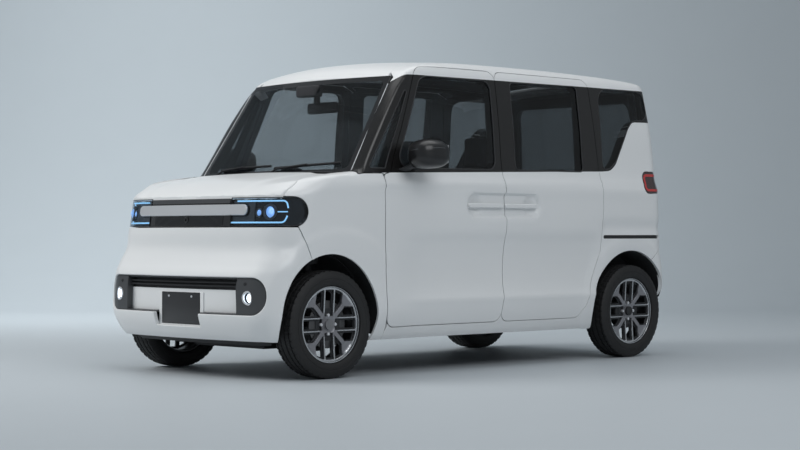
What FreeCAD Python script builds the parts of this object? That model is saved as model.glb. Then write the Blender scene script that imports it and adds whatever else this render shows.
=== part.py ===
"""Kei car: a tall wagon with hinged front doors, sliding rear doors, a bonnet and a tailgate.

The row frame has its origin on the ground under the middle of the body, X forward, Y to the
car's left and Z up. All lengths are millimetres and sit in the sheet under their own names.
"""
import FreeCAD, Part
import math
import os

Vector = FreeCAD.Vector
doc = FreeCAD.newDocument("KeiCar")
sheet = doc.addObject("Spreadsheet::Sheet", "Sizes")

SIZES = [
    ("BodyLength", 3395.0),
    ("BodyWidth", 1475.0),
    ("BodyHeight", 1790.0),
    ("Wheelbase", 2520.0),
    ("FrontOverhang", 498.5),
    ("TrackWidth", 1280.0),
    ("FrontCorner", 240.0),
    ("RearCorner", 118.0),
    ("CrownRadius", 8000.0),
    ("ScreenRadius", 2600.0),
    ("RoofRadius", 5300.0),
    ("BonnetRadius", 14700.0),
    ("ShutGap", 5.0),
    ("SeatGap", 0.3),
    ("Overrun", 60.0),
    ("GlassThick", 5.0),
    ("GlassInset", 7.0),
    ("BonnetWall", 30.0),
    ("BumperWall", 110.0),
    ("FloorTop", 300.0),
    ("FloorThick", 45.0),
    ("LoadFloorTop", 400.0),
    ("SillBottom", 193.0),
    ("SillStep", 76.0),
    ("FirewallFront", 960.0),
    ("FirewallThick", 30.0),
    ("HingeSetback", 40.0),
    ("HingeDepth", 19.0),
    ("FrontArchRadius", 340.0),
    ("RearArchRadius", 360.0),
    ("FrontArchForward", 11.0),
    ("FrontArchRise", 36.0),
    ("RearArchForward", 16.0),
    ("RearArchRise", 19.0),
    ("FrontWellDepth", 378.0),
    ("RearWellDepth", 240.0),
    ("LinerThick", 6.0),
    ("HingePin", 5.0),
    ("HingeLug", 11.0),
    ("HingeWide", 25.0),
    ("TyreRadius", 289.0),
    ("TyreWidth", 165.0),
    ("ShoulderWide", 17.0),
    ("ShoulderTall", 26.0),
    ("RimRadius", 205.0),
    ("RimWidth", 140.0),
    ("RimWall", 21.0),
    ("RimFaceOut", 60.0),
    ("RimFaceThick", 22.0),
    ("HubRadius", 62.0),
    ("HubBore", 28.0),
    ("DiscRadius", 128.0),
    ("DiscThick", 18.0),
    ("DrumRadius", 110.0),
    ("DrumDepth", 55.0),
    ("StubRadius", 27.6),
    ("UprightThick", 34.0),
    ("UprightTall", 230.0),
    ("UprightLong", 110.0),
    ("KingpinInset", 52.0),
    ("StrutRadius", 26.0),
    ("SpringRadius", 62.0),
    ("SpringTall", 190.0),
    ("StrutSide", 510.0),
    ("StrutTop", 800.0),
    ("TowerRadius", 80.0),
    ("ArmThick", 28.0),
    ("ArmWide", 60.0),
    ("BeamRadius", 38.0),
    ("EngineLong", 400.0),
    ("EngineWide", 620.0),
    ("EngineTall", 500.0),
    ("EngineBottom", 255.0),
    ("TankLong", 620.0),
    ("TankWide", 760.0),
    ("TankTall", 60.0),
    ("MufflerRadius", 62.0),
    ("MufflerLong", 420.0),
    ("SeatWide", 480.0),
    ("SeatSpacing", 620.0),
    ("RearSeatWide", 1120.0),
    ("SeatRound", 30.0),
    ("DashWide", 1190.0),
    ("SteeringRadius", 183.0),
    ("SteeringGrip", 14.0),
    ("SteeringHub", 52.0),
    ("SteeringSide", 350.0),
    ("ColumnRadius", 32.0),
    ("ColumnLean", 27.0),
    ("PlateWide", 330.0),
    ("PlateTall", 165.0),
    ("PlateThick", 3.0),
    ("PlateHoleSpacing", 210.0),
    ("PlateHole", 3.5),
    ("PlateHoleDeep", 30.0),
    ("MirrorWide", 190.0),
    ("MirrorTall", 165.0),
    ("MirrorDeep", 110.0),
    ("MirrorRound", 30.0),
    ("WiperRadius", 6.0),
]
for row, (alias, value) in enumerate(SIZES, start=1):
    sheet.set("A%d" % row, alias)
    sheet.set("B%d" % row, str(value))
    sheet.setAlias("B%d" % row, alias)
doc.recompute()


def mm(alias):
    """Read one named size from the sheet."""
    return float(sheet.get(alias))


HALF_LONG = mm("BodyLength") / 2
HALF_WIDE = mm("BodyWidth") / 2
TALL = mm("BodyHeight")
GAP = mm("ShutGap")
FIT = mm("SeatGap")
OVER = mm("Overrun")
FRONT_AXLE = HALF_LONG - mm("FrontOverhang")
REAR_AXLE = FRONT_AXLE - mm("Wheelbase")
AXLE_HEIGHT = mm("TyreRadius")
WHEEL_SIDE = mm("TrackWidth") / 2
PIECES = []

# Section shares from the ground up: height, half width, nose and tail reach, nose and tail corner
SECTION_SHARES = [
    (0.084, 0.870, 0.925, 0.945, 0.75, 0.85),
    (0.126, 0.945, 0.975, 0.975, 0.75, 0.85),
    (0.205, 0.993, 1.001, 0.996, 0.75, 0.72),
    (0.262, 0.987, 1.001, 1.001, 0.75, 0.72),
    (0.310, 0.983, 0.992, 1.001, 0.71, 0.80),
    (0.340, 0.984, 0.974, 0.999, 0.69, 0.90),
    (0.380, 0.986, 0.965, 0.998, 0.80, 0.97),
    (0.450, 0.990, 0.958, 0.996, 1.00, 1.00),
    (0.520, 0.996, 0.950, 0.990, 1.08, 1.00),
    (0.548, 0.999, 0.944, 0.987, 1.10, 1.00),
    (0.565, 1.002, 0.925, 0.986, 1.15, 1.00),
    (0.580, 1.002, 0.900, 0.986, 1.20, 1.00),
    (0.620, 0.967, 0.880, 0.987, 1.25, 1.00),
    (0.650, 0.952, 0.880, 0.987, 1.25, 1.00),
    (0.780, 0.925, 0.880, 0.979, 1.25, 1.00),
    (0.900, 0.890, 0.880, 0.962, 1.25, 1.02),
    (0.948, 0.872, 0.880, 0.955, 1.25, 1.02),
    (0.972, 0.838, 0.880, 0.950, 1.25, 1.02),
    (0.990, 0.780, 0.880, 0.944, 1.25, 1.02),
    (1.012, 0.690, 0.880, 0.938, 1.25, 1.02),
]
# Centre line over the screen and the roof: forward share of half the length, height share
CABIN_SHARES = [
    (1.120, -0.023),
    (0.838, 0.335),
    (0.639, 0.614),
    (0.418, 0.925),
    (0.375, 0.960),
    (0.310, 0.979),
    (0.200, 0.991),
    (0.000, 1.000),
    (-0.280, 1.001),
    (-0.560, 0.998),
    (-0.780, 0.991),
    (-0.890, 0.982),
    (-0.935, 0.966),
    (-0.970, 0.940),
    (-1.050, 0.860),
    (-1.120, 0.780),
]
# Centre line over the bonnet
BONNET_SHARES = [
    (1.120, 0.464),
    (1.030, 0.503),
    (0.975, 0.533),
    (0.940, 0.552),
    (0.905, 0.572),
    (0.850, 0.592),
    (0.760, 0.610),
    (0.670, 0.622),
    (0.540, 0.632),
    (0.300, 0.640),
]


def section(shares, inset):
    """Level outline round the whole car, of straight sides and arcs."""
    height, wide, nose, tail, nose_corner, tail_corner = shares
    z = height * TALL
    half = wide * HALF_WIDE - inset
    nose_x = nose * HALF_LONG - inset
    tail_x = inset - tail * HALF_LONG
    nose_r = nose_corner * mm("FrontCorner") - inset
    tail_r = tail_corner * mm("RearCorner") - inset
    crown = half * half / (2 * mm("CrownRadius"))
    slant = math.sqrt(0.5)

    def corner(centre_x, side, radius, way):
        """Quarter arc from the end of the car to its side."""
        centre = Vector(centre_x, side * (half - radius), z)
        end = centre + Vector(way * radius, 0, 0)
        middle = centre + Vector(way * radius * slant, side * radius * slant, 0)
        flank = centre + Vector(0, side * radius, 0)
        return end, middle, flank

    tail_left = corner(tail_x + crown + tail_r, 1, tail_r, -1)
    tail_right = corner(tail_x + crown + tail_r, -1, tail_r, -1)
    nose_left = corner(nose_x - crown - nose_r, 1, nose_r, 1)
    nose_right = corner(nose_x - crown - nose_r, -1, nose_r, 1)
    edges = [
        Part.Arc(*tail_left),
        Part.LineSegment(tail_left[2], nose_left[2]),
        Part.Arc(*reversed(nose_left)),
        Part.Arc(nose_left[0], Vector(nose_x, 0, z), nose_right[0]),
        Part.Arc(*nose_right),
        Part.LineSegment(nose_right[2], tail_right[2]),
        Part.Arc(*reversed(tail_right)),
        Part.Arc(tail_right[0], Vector(tail_x, 0, z), tail_left[0]),
    ]
    return [edge.toShape() for edge in edges]


def between(low, high):
    """Face between an edge and the like edge of the next level, flat where both are straight."""
    if low.Curve.TypeId != "Part::GeomLine":
        return Part.makeRuledSurface(low, high)
    corners = [low.Vertexes[0].Point, low.Vertexes[1].Point]
    corners += [high.Vertexes[1].Point, high.Vertexes[0].Point]
    return Part.Face(Part.makePolygon(corners + corners[:1]))


def side_form(inset):
    """Closed form inside the car's sides, nose and tail, taller than its roof."""
    levels = [section(shares, inset) for shares in SECTION_SHARES]
    faces = [Part.Face(Part.Wire(levels[0])), Part.Face(Part.Wire(levels[-1]))]
    for lower, upper in zip(levels, levels[1:]):
        faces += [between(low, high) for low, high in zip(lower, upper)]
    skin = Part.makeCompound(faces)
    skin.sewShape(FIT / 10)
    solid = Part.makeSolid(skin.Shells[0])
    if solid.Volume < 0:
        solid.reverse()
    return solid


def ramp(value, low, high):
    """Share from 0 at low to 1 at high."""
    return max(0.0, min(1.0, (value - low) / (high - low)))


def crowned(point, back, drop):
    """Closed wire under a crowned line across the car through a point of its centre line."""
    across = 1.1 * HALF_WIDE
    side = Vector(point.x - back * across * across, across, point.z - drop * across * across)
    other = Vector(side.x, -across, side.z)
    low = -TALL
    corner = Vector(side.x, across, low)
    far_corner = Vector(side.x, -across, low)
    if back == 0 and drop == 0:
        top = Part.LineSegment(side, other)
    else:
        top = Part.Arc(side, point, other)
    around = [other, far_corner, corner, side]
    rest = [Part.LineSegment(start, end) for start, end in zip(around, around[1:])]
    return Part.Wire([edge.toShape() for edge in [top] + rest])


def under(shares, back_at, drop_at):
    """Everything under a crowned surface that follows a centre line."""
    wires = []
    last = len(shares) - 1
    for i, (along, height) in enumerate(shares):
        point = Vector(along * HALF_LONG, 0, height * TALL)
        inner = 0 < i < last
        wires.append(crowned(point, back_at(along) * inner, drop_at(along) * inner))
    return Part.makeLoft(wires, True, True)


def screen_back(along):
    """How fast the screen runs back towards its sides."""
    return ramp(along, 0.18, 0.42) / (2 * mm("ScreenRadius"))


def roof_drop(along):
    """How fast the roof drops towards its sides."""
    return ramp(0.53 - along, 0, 0.17) / (2 * mm("RoofRadius"))


def level(along):
    """No run back at all."""
    return 0.0


def bonnet_drop(along):
    """How fast the bonnet drops towards its sides."""
    return 1 / (2 * mm("BonnetRadius"))


def rounded(points, radius):
    """Closed wire through points with tangent arcs of at most the radius at its corners."""
    count = len(points)
    ends = []
    for i in range(count):
        before = points[i - 1]
        here = points[i]
        after = points[(i + 1) % count]
        to_before = (before - here)
        to_after = (after - here)
        half = math.pi / 2 - to_before.getAngle(to_after) / 2
        room = 0.48 * min(to_before.Length, to_after.Length)
        if radius == 0 or half < 0.01:
            ends.append((here, None, here))
            continue
        reach = min(radius * math.tan(half), room)
        real = reach / math.tan(half)
        first = here + to_before.normalize() * reach
        last = here + to_after.normalize() * reach
        middle = (first + last) * 0.5
        towards = (middle - here).normalize()
        centre = here + towards * (real / math.cos(half))
        ends.append((first, centre - towards * real, last))
    edges = []
    for i in range(count):
        first, bend, last = ends[i]
        if bend is not None:
            edges.append(Part.Arc(first, bend, last).toShape())
        following = ends[(i + 1) % count][0]
        if (following - last).Length > 1e-6:
            edges.append(Part.LineSegment(last, following).toShape())
    return Part.Wire(edges)


def side_outline(shares, radius=0.0):
    """Outline seen from the side, from shares of half the length and of the height."""
    points = [Vector(along * HALF_LONG, 0, height * TALL) for along, height in shares]
    return rounded(points, radius)


def front_outline(shares, radius=0.0):
    """Outline seen from the front, from shares of half the width and of the height."""
    points = [Vector(0, across * HALF_WIDE, height * TALL) for across, height in shares]
    return rounded(points, radius)


def grown(wire, by):
    """Outline moved out by a clearance, or in by a negative one."""
    if by == 0:
        return wire
    bigger = wire.makeOffset2D(by, 2)
    if (bigger.BoundBox.DiagonalLength > wire.BoundBox.DiagonalLength) != (by > 0):
        bigger = wire.makeOffset2D(-by, 2)
    return bigger


def through_y(wire, low, high):
    """Prism across the car between two distances from its middle."""
    face = Part.Face(wire)
    face.translate(Vector(0, low, 0))
    return face.extrude(Vector(0, high - low, 0))


def through_x(wire, low, high):
    """Prism along the car between two stations."""
    face = Part.Face(wire)
    face.translate(Vector(low, 0, 0))
    return face.extrude(Vector(high - low, 0, 0))


def block(low, high):
    """Box between two corners."""
    return Part.makeBox(high[0] - low[0], high[1] - low[1], high[2] - low[2], Vector(*low))


def rod(start, end, radius):
    """Round bar between two points."""
    return Part.makeCylinder(radius, (end - start).Length, start, end - start)


def bar(start, end, half):
    """Square bar between two points, run on by half its side at each end."""
    way = (end - start).normalize()
    side = way.cross(Vector(0, 0, 1)).normalize() * half
    up = side.cross(way).normalize() * half
    foot = start - way * half
    corners = [foot + side + up, foot - side + up, foot - side - up, foot + side - up]
    return Part.Face(Part.makePolygon(corners + corners[:1])).extrude(end - start + way * 2 * half)


def mirrored(shape):
    """The same piece on the other side of the car."""
    return shape.mirror(Vector(0, 0, 0), Vector(0, 1, 0))


def one_solid(shape):
    """The largest solid of a cut, which leaves slivers at an edge."""
    return max(shape.Solids, key=lambda solid: solid.Volume)


def keep(label, shape):
    """Store a freeform piece in the document."""
    piece = doc.addObject("Part::Feature", label)
    piece.Label = label
    piece.Shape = shape
    PIECES.append(piece)
    return piece


def both_sides(*shapes):
    """Left pieces and their mirror images, as solids that share a piece."""
    return Part.makeCompound(list(shapes) + [mirrored(shape) for shape in shapes])


def keep_pair(name, shape):
    """Store a left piece and its mirror image."""
    keep(name + "_left", shape)
    keep(name + "_right", mirrored(shape))


def hinge_set(pivot, across, reach):
    """Lugs, their bores with room for the ears, and the pins on ears, for a lid's two hinges."""
    wide = mm("HingeWide")
    ear_wide = wide / 3

    def at(y):
        """Point of the hinge axis."""
        return Vector(pivot.x, y, pivot.z)

    lug = rod(at(across + GAP), at(across + wide), mm("HingeLug"))
    bore = rod(at(across - ear_wide - GAP), at(across + wide + GAP), mm("HingePin") + FIT)
    slot = rod(at(across - ear_wide - GAP), at(across + GAP), 2 * mm("HingeLug") + FIT)
    pin = rod(at(across - ear_wide), at(across + wide), mm("HingePin"))
    ear_end = at(across) + reach
    ear_side = reach.cross(Vector(0, 1, 0)).normalize() * 1.4 * mm("HingePin")
    corners = [at(across) + ear_side, ear_end + ear_side, ear_end - ear_side, at(across) - ear_side]
    ear = Part.Face(Part.makePolygon(corners + corners[:1])).extrude(Vector(0, -ear_wide, 0))
    ear = ear.fuse([pin, rod(at(across - ear_wide), at(across), 1.4 * mm("HingePin"))])
    return both_sides(lug), both_sides(bore.fuse(slot)), both_sides(ear)


# Body forms
outer = side_form(0)
glass_outer = side_form(mm("GlassInset"))
glass_inner = side_form(mm("GlassInset") + mm("GlassThick"))
under_roof = under(CABIN_SHARES, screen_back, roof_drop)
under_bonnet = under(BONNET_SHARES, level, bonnet_drop)
cabin_form = outer.common(under_roof)
nose_form = outer.common(under_bonnet)

# Hollow of the cabin, from the firewall to the tailgate
INSIDE_SHARES = [
    (0.548, 0.1676),
    (0.548, 0.592),
    (0.580, 0.600),
    (0.362, 0.916),
    (0.330, 0.948),
    (0.177, 0.970),
    (-0.236, 0.978),
    (-0.700, 0.973),
    (-0.884, 0.963),
    (-0.943, 0.920),
    (-0.955, 0.560),
    (-0.950, 0.2235),
    (-0.575, 0.2235),
    (-0.555, 0.1676),
]
INSIDE_FRONT_SHARES = [
    (0.864, 0.10),
    (0.864, 0.6145),
    (0.820, 0.915),
    (0.730, 0.962),
    (0.300, 0.982),
    (-0.300, 0.982),
    (-0.730, 0.962),
    (-0.820, 0.915),
    (-0.864, 0.6145),
    (-0.864, 0.10),
]
hollow = through_y(side_outline(INSIDE_SHARES), -HALF_WIDE, HALF_WIDE)
hollow = hollow.common(through_x(front_outline(INSIDE_FRONT_SHARES), -HALF_LONG, HALF_LONG))

# Wheel wells, open below
front_arch = Vector(FRONT_AXLE + mm("FrontArchForward"), 0, AXLE_HEIGHT + mm("FrontArchRise"))
rear_arch = Vector(REAR_AXLE + mm("RearArchForward"), 0, AXLE_HEIGHT + mm("RearArchRise"))


def well(arch, radius, inner):
    """Space of a left wheel, from its inner wall outwards."""
    deep = HALF_WIDE + OVER - inner
    tube = Part.makeCylinder(radius, deep, Vector(arch.x, inner, arch.z), Vector(0, 1, 0))
    below = block((arch.x - radius, inner, -OVER), (arch.x + radius, inner + deep, arch.z))
    return tube.fuse(below).removeSplitter()


front_inner = HALF_WIDE - mm("FrontWellDepth")
rear_inner = HALF_WIDE - mm("RearWellDepth")
front_well = well(front_arch, mm("FrontArchRadius"), front_inner)
rear_well = well(rear_arch, mm("RearArchRadius"), rear_inner)

# Shut lines
FRONT_DOOR_SHARES = [
    (0.471, 0.1464),
    (0.481, 0.455),
    (0.483, 0.6145),
    (0.448, 0.6175),
    (0.303, 0.944),
    (0.277, 0.960),
    (-0.0795, 0.960),
    (-0.082, 0.615),
    (-0.091, 0.473),
    (-0.082, 0.251),
    (-0.068, 0.1464),
]
SLIDING_DOOR_SHARES = [
    (-0.068, 0.1464),
    (-0.082, 0.251),
    (-0.091, 0.473),
    (-0.082, 0.615),
    (-0.0795, 0.960),
    (-0.554, 0.960),
    (-0.574, 0.9385),
    (-0.601, 0.642),
    (-0.607, 0.5195),
    (-0.594, 0.372),
    (-0.540, 0.2575),
    (-0.516, 0.192),
    (-0.477, 0.1464),
]
FRONT_WINDOW_SHARES = [
    (0.4195, 0.634),
    (0.2875, 0.916),
    (0.255, 0.928),
    (-0.054, 0.928),
    (-0.054, 0.639),
]
SLIDING_WINDOW_SHARES = [
    (-0.154, 0.640),
    (-0.154, 0.929),
    (-0.511, 0.934),
    (-0.514, 0.6425),
]
QUARTER_FRONT_SHARES = [
    (0.471, 0.632),
    (0.545, 0.632),
    (0.3605, 0.877),
    (0.3475, 0.877),
]
QUARTER_REAR_SHARES = [
    (-0.6255, 0.6525),
    (-0.666, 0.655),
    (-0.707, 0.684),
    (-0.7835, 0.799),
    (-0.816, 0.830),
    (-0.907, 0.832),
    (-0.901, 0.934),
    (-0.6255, 0.934),
]
SCREEN_SHARES = [
    (0.868, 0.614),
    (0.797, 0.925),
    (-0.797, 0.925),
    (-0.868, 0.614),
]
TAILGATE_SHARES = [
    (0.780, 0.313),
    (0.814, 0.390),
    (0.814, 0.565),
    (0.770, 0.660),
    (0.745, 0.890),
    (0.745, 1.030),
    (-0.745, 1.030),
    (-0.745, 0.890),
    (-0.770, 0.660),
    (-0.814, 0.565),
    (-0.814, 0.390),
    (-0.780, 0.313),
]
TAIL_WINDOW_SHARES = [
    (0.690, 0.655),
    (0.660, 0.905),
    (-0.660, 0.905),
    (-0.690, 0.655),
]
BUMPER_SHARES = [
    (0.842, 0.450),
    (0.792, 0.352),
    (0.792, 0.080),
    (1.060, 0.080),
    (1.060, 0.450),
]
REAR_BUMPER_SHARES = [
    (-0.880, 0.080),
    (-0.880, 0.335),
    (-0.950, 0.392),
    (-1.060, 0.392),
    (-1.060, 0.080),
]
BAND_SHARES = [
    (0.809, 0.4525),
    (0.809, 0.5410),
    (1.060, 0.5410),
    (1.060, 0.4525),
]
CORNER = mm("RearCorner") / 2
front_door_line = side_outline(FRONT_DOOR_SHARES, CORNER)
sliding_door_line = side_outline(SLIDING_DOOR_SHARES, CORNER)
front_window_line = side_outline(FRONT_WINDOW_SHARES, CORNER)
sliding_window_line = side_outline(SLIDING_WINDOW_SHARES, CORNER / 2)
quarter_front_line = side_outline(QUARTER_FRONT_SHARES, CORNER / 8)
quarter_rear_line = side_outline(QUARTER_REAR_SHARES, CORNER)
screen_line = front_outline(SCREEN_SHARES, CORNER)
tailgate_line = front_outline(TAILGATE_SHARES, CORNER)
tail_window_line = front_outline(TAIL_WINDOW_SHARES, CORNER)
bumper_line = side_outline(BUMPER_SHARES)
rear_bumper_line = side_outline(REAR_BUMPER_SHARES)
band_line = side_outline(BAND_SHARES, HALF_WIDE)

SIDE_FROM = 0.759 * HALF_WIDE
DOOR_FROM = 0.80 * HALF_WIDE
PAST = HALF_WIDE + OVER
sill_face = HALF_WIDE - mm("SillStep")
below_step = block((-HALF_LONG, 0, 0), (HALF_LONG, sill_face, mm("FloorTop")))


def door_blank(line, grow):
    """Space of a door, which hangs outside the sill below the floor."""
    prism = through_y(grown(line, grow), DOOR_FROM - OVER / 2, PAST)
    step = block((-HALF_LONG, 0, 0), (HALF_LONG, sill_face - grow, mm("FloorTop") - grow))
    return prism.cut(step)


def pane(line, low, high):
    """Side glass that follows the body, within an outline."""
    prism = through_y(grown(line, -FIT), low, high)
    return one_solid(glass_outer.common(prism).cut(glass_inner))


# Front door, hinged at its front edge
HINGE_X = 0.479 * HALF_LONG - mm("HingeSetback")
HINGE_Y = HALF_WIDE - mm("HingeDepth")
hinge_reach = math.hypot(mm("HingeSetback") + 0.004 * HALF_LONG, mm("HingeDepth")) + GAP
hinge_room = Part.makeCylinder(hinge_reach, TALL, Vector(HINGE_X, HINGE_Y, 0))
hinge_room = hinge_room.common(block((HINGE_X, 0, 0), (HALF_LONG, HALF_WIDE + OVER, 0.64 * TALL)))

front_window = through_y(front_window_line, 0, PAST)
door = cabin_form.common(door_blank(front_door_line, 0)).cut([hollow, front_window])
keep_pair("front_door", one_solid(door))
keep_pair("front_door_glass", pane(front_window_line, 0, PAST))

# Sliding door, which has no joint here
sliding_window = through_y(sliding_window_line, 0, PAST)
front_door_room = door_blank(front_door_line, GAP)
slider = cabin_form.common(door_blank(sliding_door_line, 0)).cut([hollow, sliding_window, front_door_room])
keep("sliding_doors", both_sides(one_solid(slider)))
sliding_glass = pane(sliding_window_line, 0, PAST)

# Screen
screen_way = Vector(0.828, 0, 0.56)
screen_below = under_roof.translated(screen_way * -mm("GlassThick"))
screen_slab = under_roof.cut(screen_below)
screen_room = under_roof.cut(under_roof.translated(screen_way * -2 * OVER))
SCREEN_FROM = 0.30 * HALF_LONG
screen = screen_slab.common(through_x(grown(screen_line, -FIT), SCREEN_FROM, HALF_LONG))
keep("windscreen", one_solid(screen))
screen_cut = screen_room.common(through_x(screen_line, SCREEN_FROM, HALF_LONG))

# Tailgate, hinged at the roof's rear edge
TAIL_HINGE_X = -0.868 * HALF_LONG
TAIL_HINGE_Z = 0.972 * TALL
TAIL_EDGE = TAIL_HINGE_X + GAP
tail_window = through_x(tail_window_line, -PAST * 3, TAIL_EDGE)
gate = cabin_form.common(through_x(tailgate_line, -2 * HALF_LONG, TAIL_EDGE)).cut([hollow, tail_window])
gate_inside = block((-0.955 * HALF_LONG, -PAST, 0), (0, PAST, mm("LoadFloorTop")))
tail_hinge = Vector(TAIL_HINGE_X, 0, TAIL_HINGE_Z)
gate_lugs, gate_bores, roof_ears = hinge_set(tail_hinge, 0.40 * HALF_WIDE, Vector(0.035 * HALF_LONG, 0, 0))
keep("tailgate", one_solid(gate.cut(gate_inside).fuse(gate_lugs).cut(gate_bores)))
gate_glass = glass_outer.common(through_x(grown(tail_window_line, -FIT), -2 * HALF_LONG, -0.5 * HALF_LONG))
keep("tailgate_glass", one_solid(gate_glass.cut(glass_inner)))
gate_room = through_x(grown(tailgate_line, GAP), -2 * HALF_LONG, TAIL_EDGE + GAP)
gate_hinge_room = Part.makeCylinder(
    math.hypot(GAP, 0.020 * TALL) + GAP, 2 * PAST, Vector(TAIL_HINGE_X, -PAST, TAIL_HINGE_Z), Vector(0, 1, 0)
)

# Roof between its two rails
ROOF_HALF = SIDE_FROM - FIT
roof_region = block((TAIL_EDGE, -ROOF_HALF, 0.915 * TALL), (0.50 * HALF_LONG, ROOF_HALF, 1.1 * TALL))
roof = cabin_form.common(roof_region).cut([hollow, screen_cut, gate_room, gate_hinge_room])
keep("roof_panel", one_solid(roof.fuse(roof_ears)))

# Tail lamps round the rear corners
LAMP_LOW = 0.5737 * TALL
LAMP_HIGH = 0.6503 * TALL
lamp_region = block((-2 * HALF_LONG, DOOR_FROM + GAP, LAMP_LOW), (-0.846 * HALF_LONG, PAST, LAMP_HIGH))
lamp = cabin_form.common(lamp_region).cut([hollow, gate_room])
keep("tail_lamps", both_sides(one_solid(lamp)))
lamp_room = block((-2 * HALF_LONG, 0, LAMP_LOW - FIT), (-0.846 * HALF_LONG + FIT, PAST, LAMP_HIGH + FIT))

# Body side with its pillars, rails and sill
SIDE_SHARES = [
    (-1.060, 0.1078),
    (0.486, 0.1078),
    (0.486, 0.6155),
    (0.640, 0.6155),
    (0.640, 1.030),
    (-1.060, 1.030),
]
side_region = through_y(side_outline(SIDE_SHARES), SIDE_FROM, PAST)
quarter_front = through_y(quarter_front_line, 0, PAST)
quarter_rear = through_y(quarter_rear_line, 0, PAST)
rear_bumper_room = through_y(grown(rear_bumper_line, FIT), 0, PAST)
sliding_door_room = door_blank(sliding_door_line, FIT)
side = cabin_form.common(side_region).cut(
    [
        hollow,
        front_door_room,
        sliding_door_room,
        screen_cut,
        gate_room,
        gate_hinge_room,
        lamp_room,
        rear_well,
        rear_bumper_room,
        quarter_front,
        quarter_rear,
        hinge_room,
    ]
)
keep("body_sides", both_sides(one_solid(side)))
panes = [sliding_glass, pane(quarter_front_line, 0, PAST), pane(quarter_rear_line, 0, PAST)]
keep("side_glass", both_sides(*panes))

# Rear bumper
bumper_inside = block((-0.945 * HALF_LONG, -0.80 * HALF_WIDE, 0), (0, 0.80 * HALF_WIDE, TALL))
both_wells = [rear_well, mirrored(rear_well), front_well, mirrored(front_well)]
rear_bumper = cabin_form.common(through_y(rear_bumper_line, -PAST, PAST))
rear_bumper = rear_bumper.common(block((-2 * HALF_LONG, -PAST, mm("SillBottom")), (0, PAST, TALL)))
rear_bumper = rear_bumper.cut([bumper_inside, gate_room] + both_wells[:2])
keep("rear_bumper", one_solid(rear_bumper))

# Nose: bonnet, wings, bumper and the lamp band
BAY_FRONT = HALF_LONG - mm("BumperWall") - 0.024 * HALF_LONG
BONNET_HALF = 0.888 * HALF_WIDE
WING_FROM = 0.813 * HALF_WIDE
BONNET_REAR = 0.667 * HALF_LONG
BONNET_LOW = 0.5438 * TALL
BONNET_HINGE_X = BONNET_REAR + GAP * 3
BONNET_HINGE_Z = 0.603 * TALL
BAY_LOW = mm("EngineBottom") - FIT
bay = block((mm("FirewallFront"), -WING_FROM, BAY_LOW), (BAY_FRONT, WING_FROM, TALL))
bonnet_below = under_bonnet.translated(Vector(0, 0, -mm("BonnetWall")))
bonnet_region = block((BONNET_REAR, -BONNET_HALF, BONNET_LOW), (HALF_LONG, BONNET_HALF, TALL))
bonnet = nose_form.common(bonnet_region).cut(bonnet_below)
bonnet_hinge = Vector(BONNET_HINGE_X, 0, BONNET_HINGE_Z)
ear_way = Vector(-0.026 * HALF_LONG, 0, -0.026 * HALF_LONG)
bonnet_lugs, bonnet_bores, cowl_ears = hinge_set(bonnet_hinge, 0.64 * HALF_WIDE, ear_way)
keep("bonnet", one_solid(bonnet.fuse(bonnet_lugs).cut(bonnet_bores)))
bonnet_room = block(
    (BONNET_REAR - GAP, -BONNET_HALF - GAP, BONNET_LOW - GAP),
    (2 * HALF_LONG, BONNET_HALF + GAP, TALL),
)
bonnet_hinge_room = Part.makeCylinder(
    math.hypot(3 * GAP, 0.020 * TALL) + GAP,
    2 * PAST,
    Vector(BONNET_HINGE_X, -PAST, BONNET_HINGE_Z),
    Vector(0, 1, 0),
)

bumper_room = through_y(grown(bumper_line, FIT), 0, PAST)
band_room = through_y(grown(band_line, FIT), 0, PAST)
WING_SHARES = [
    (0.4865, 0.1078),
    (0.4865, 0.6150),
    (0.650, 0.6150),
    (0.650, 0.700),
    (0.950, 0.700),
    (0.950, 0.1078),
]
wing_hinge_room = bonnet_hinge_room.common(block((0, 0, 0), (HALF_LONG, BONNET_HALF + GAP, TALL)))
wing = nose_form.common(through_y(side_outline(WING_SHARES), WING_FROM, PAST))
wing = wing.cut([bonnet_room, wing_hinge_room, bumper_room, band_room])
wing = wing.cut([front_well, hinge_room, front_door_room, side_region])
keep("fenders", both_sides(one_solid(wing)))

bumper = nose_form.common(through_y(bumper_line, -PAST, PAST)).cut([bay] + both_wells[2:])
bumper = bumper.common(block((0, -PAST, mm("SillBottom")), (2 * HALF_LONG, PAST, TALL)))
INTAKE_SHARES = [
    (0.86, 0.268),
    (0.86, 0.299),
    (-0.86, 0.299),
    (-0.86, 0.268),
]
intake = through_x(front_outline(INTAKE_SHARES, CORNER), 0.5 * HALF_LONG, 2 * HALF_LONG)
plate_x = 0.976 * HALF_LONG
plate_low = 0.161 * TALL
plate_high = plate_low + mm("PlateTall")
plate_half = mm("PlateWide") / 2
plate = block((plate_x, -plate_half, plate_low), (plate_x + mm("PlateThick"), plate_half, plate_high))
plate_room = block(
    (plate_x - FIT, -plate_half - 2 * GAP, plate_low - 2 * GAP),
    (2 * HALF_LONG, plate_half + 2 * GAP, plate_high + 2 * GAP),
)
plate_bolts = [
    rod(
        Vector(plate_x - mm("PlateHoleDeep"), way * mm("PlateHoleSpacing") / 2, plate_high - 0.016 * TALL),
        Vector(plate_x + mm("PlateHoleDeep"), way * mm("PlateHoleSpacing") / 2, plate_high - 0.016 * TALL),
        mm("PlateHole"),
    )
    for way in (1, -1)
]
keep("front_bumper", one_solid(bumper.cut([intake, plate_room] + plate_bolts)))

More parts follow.
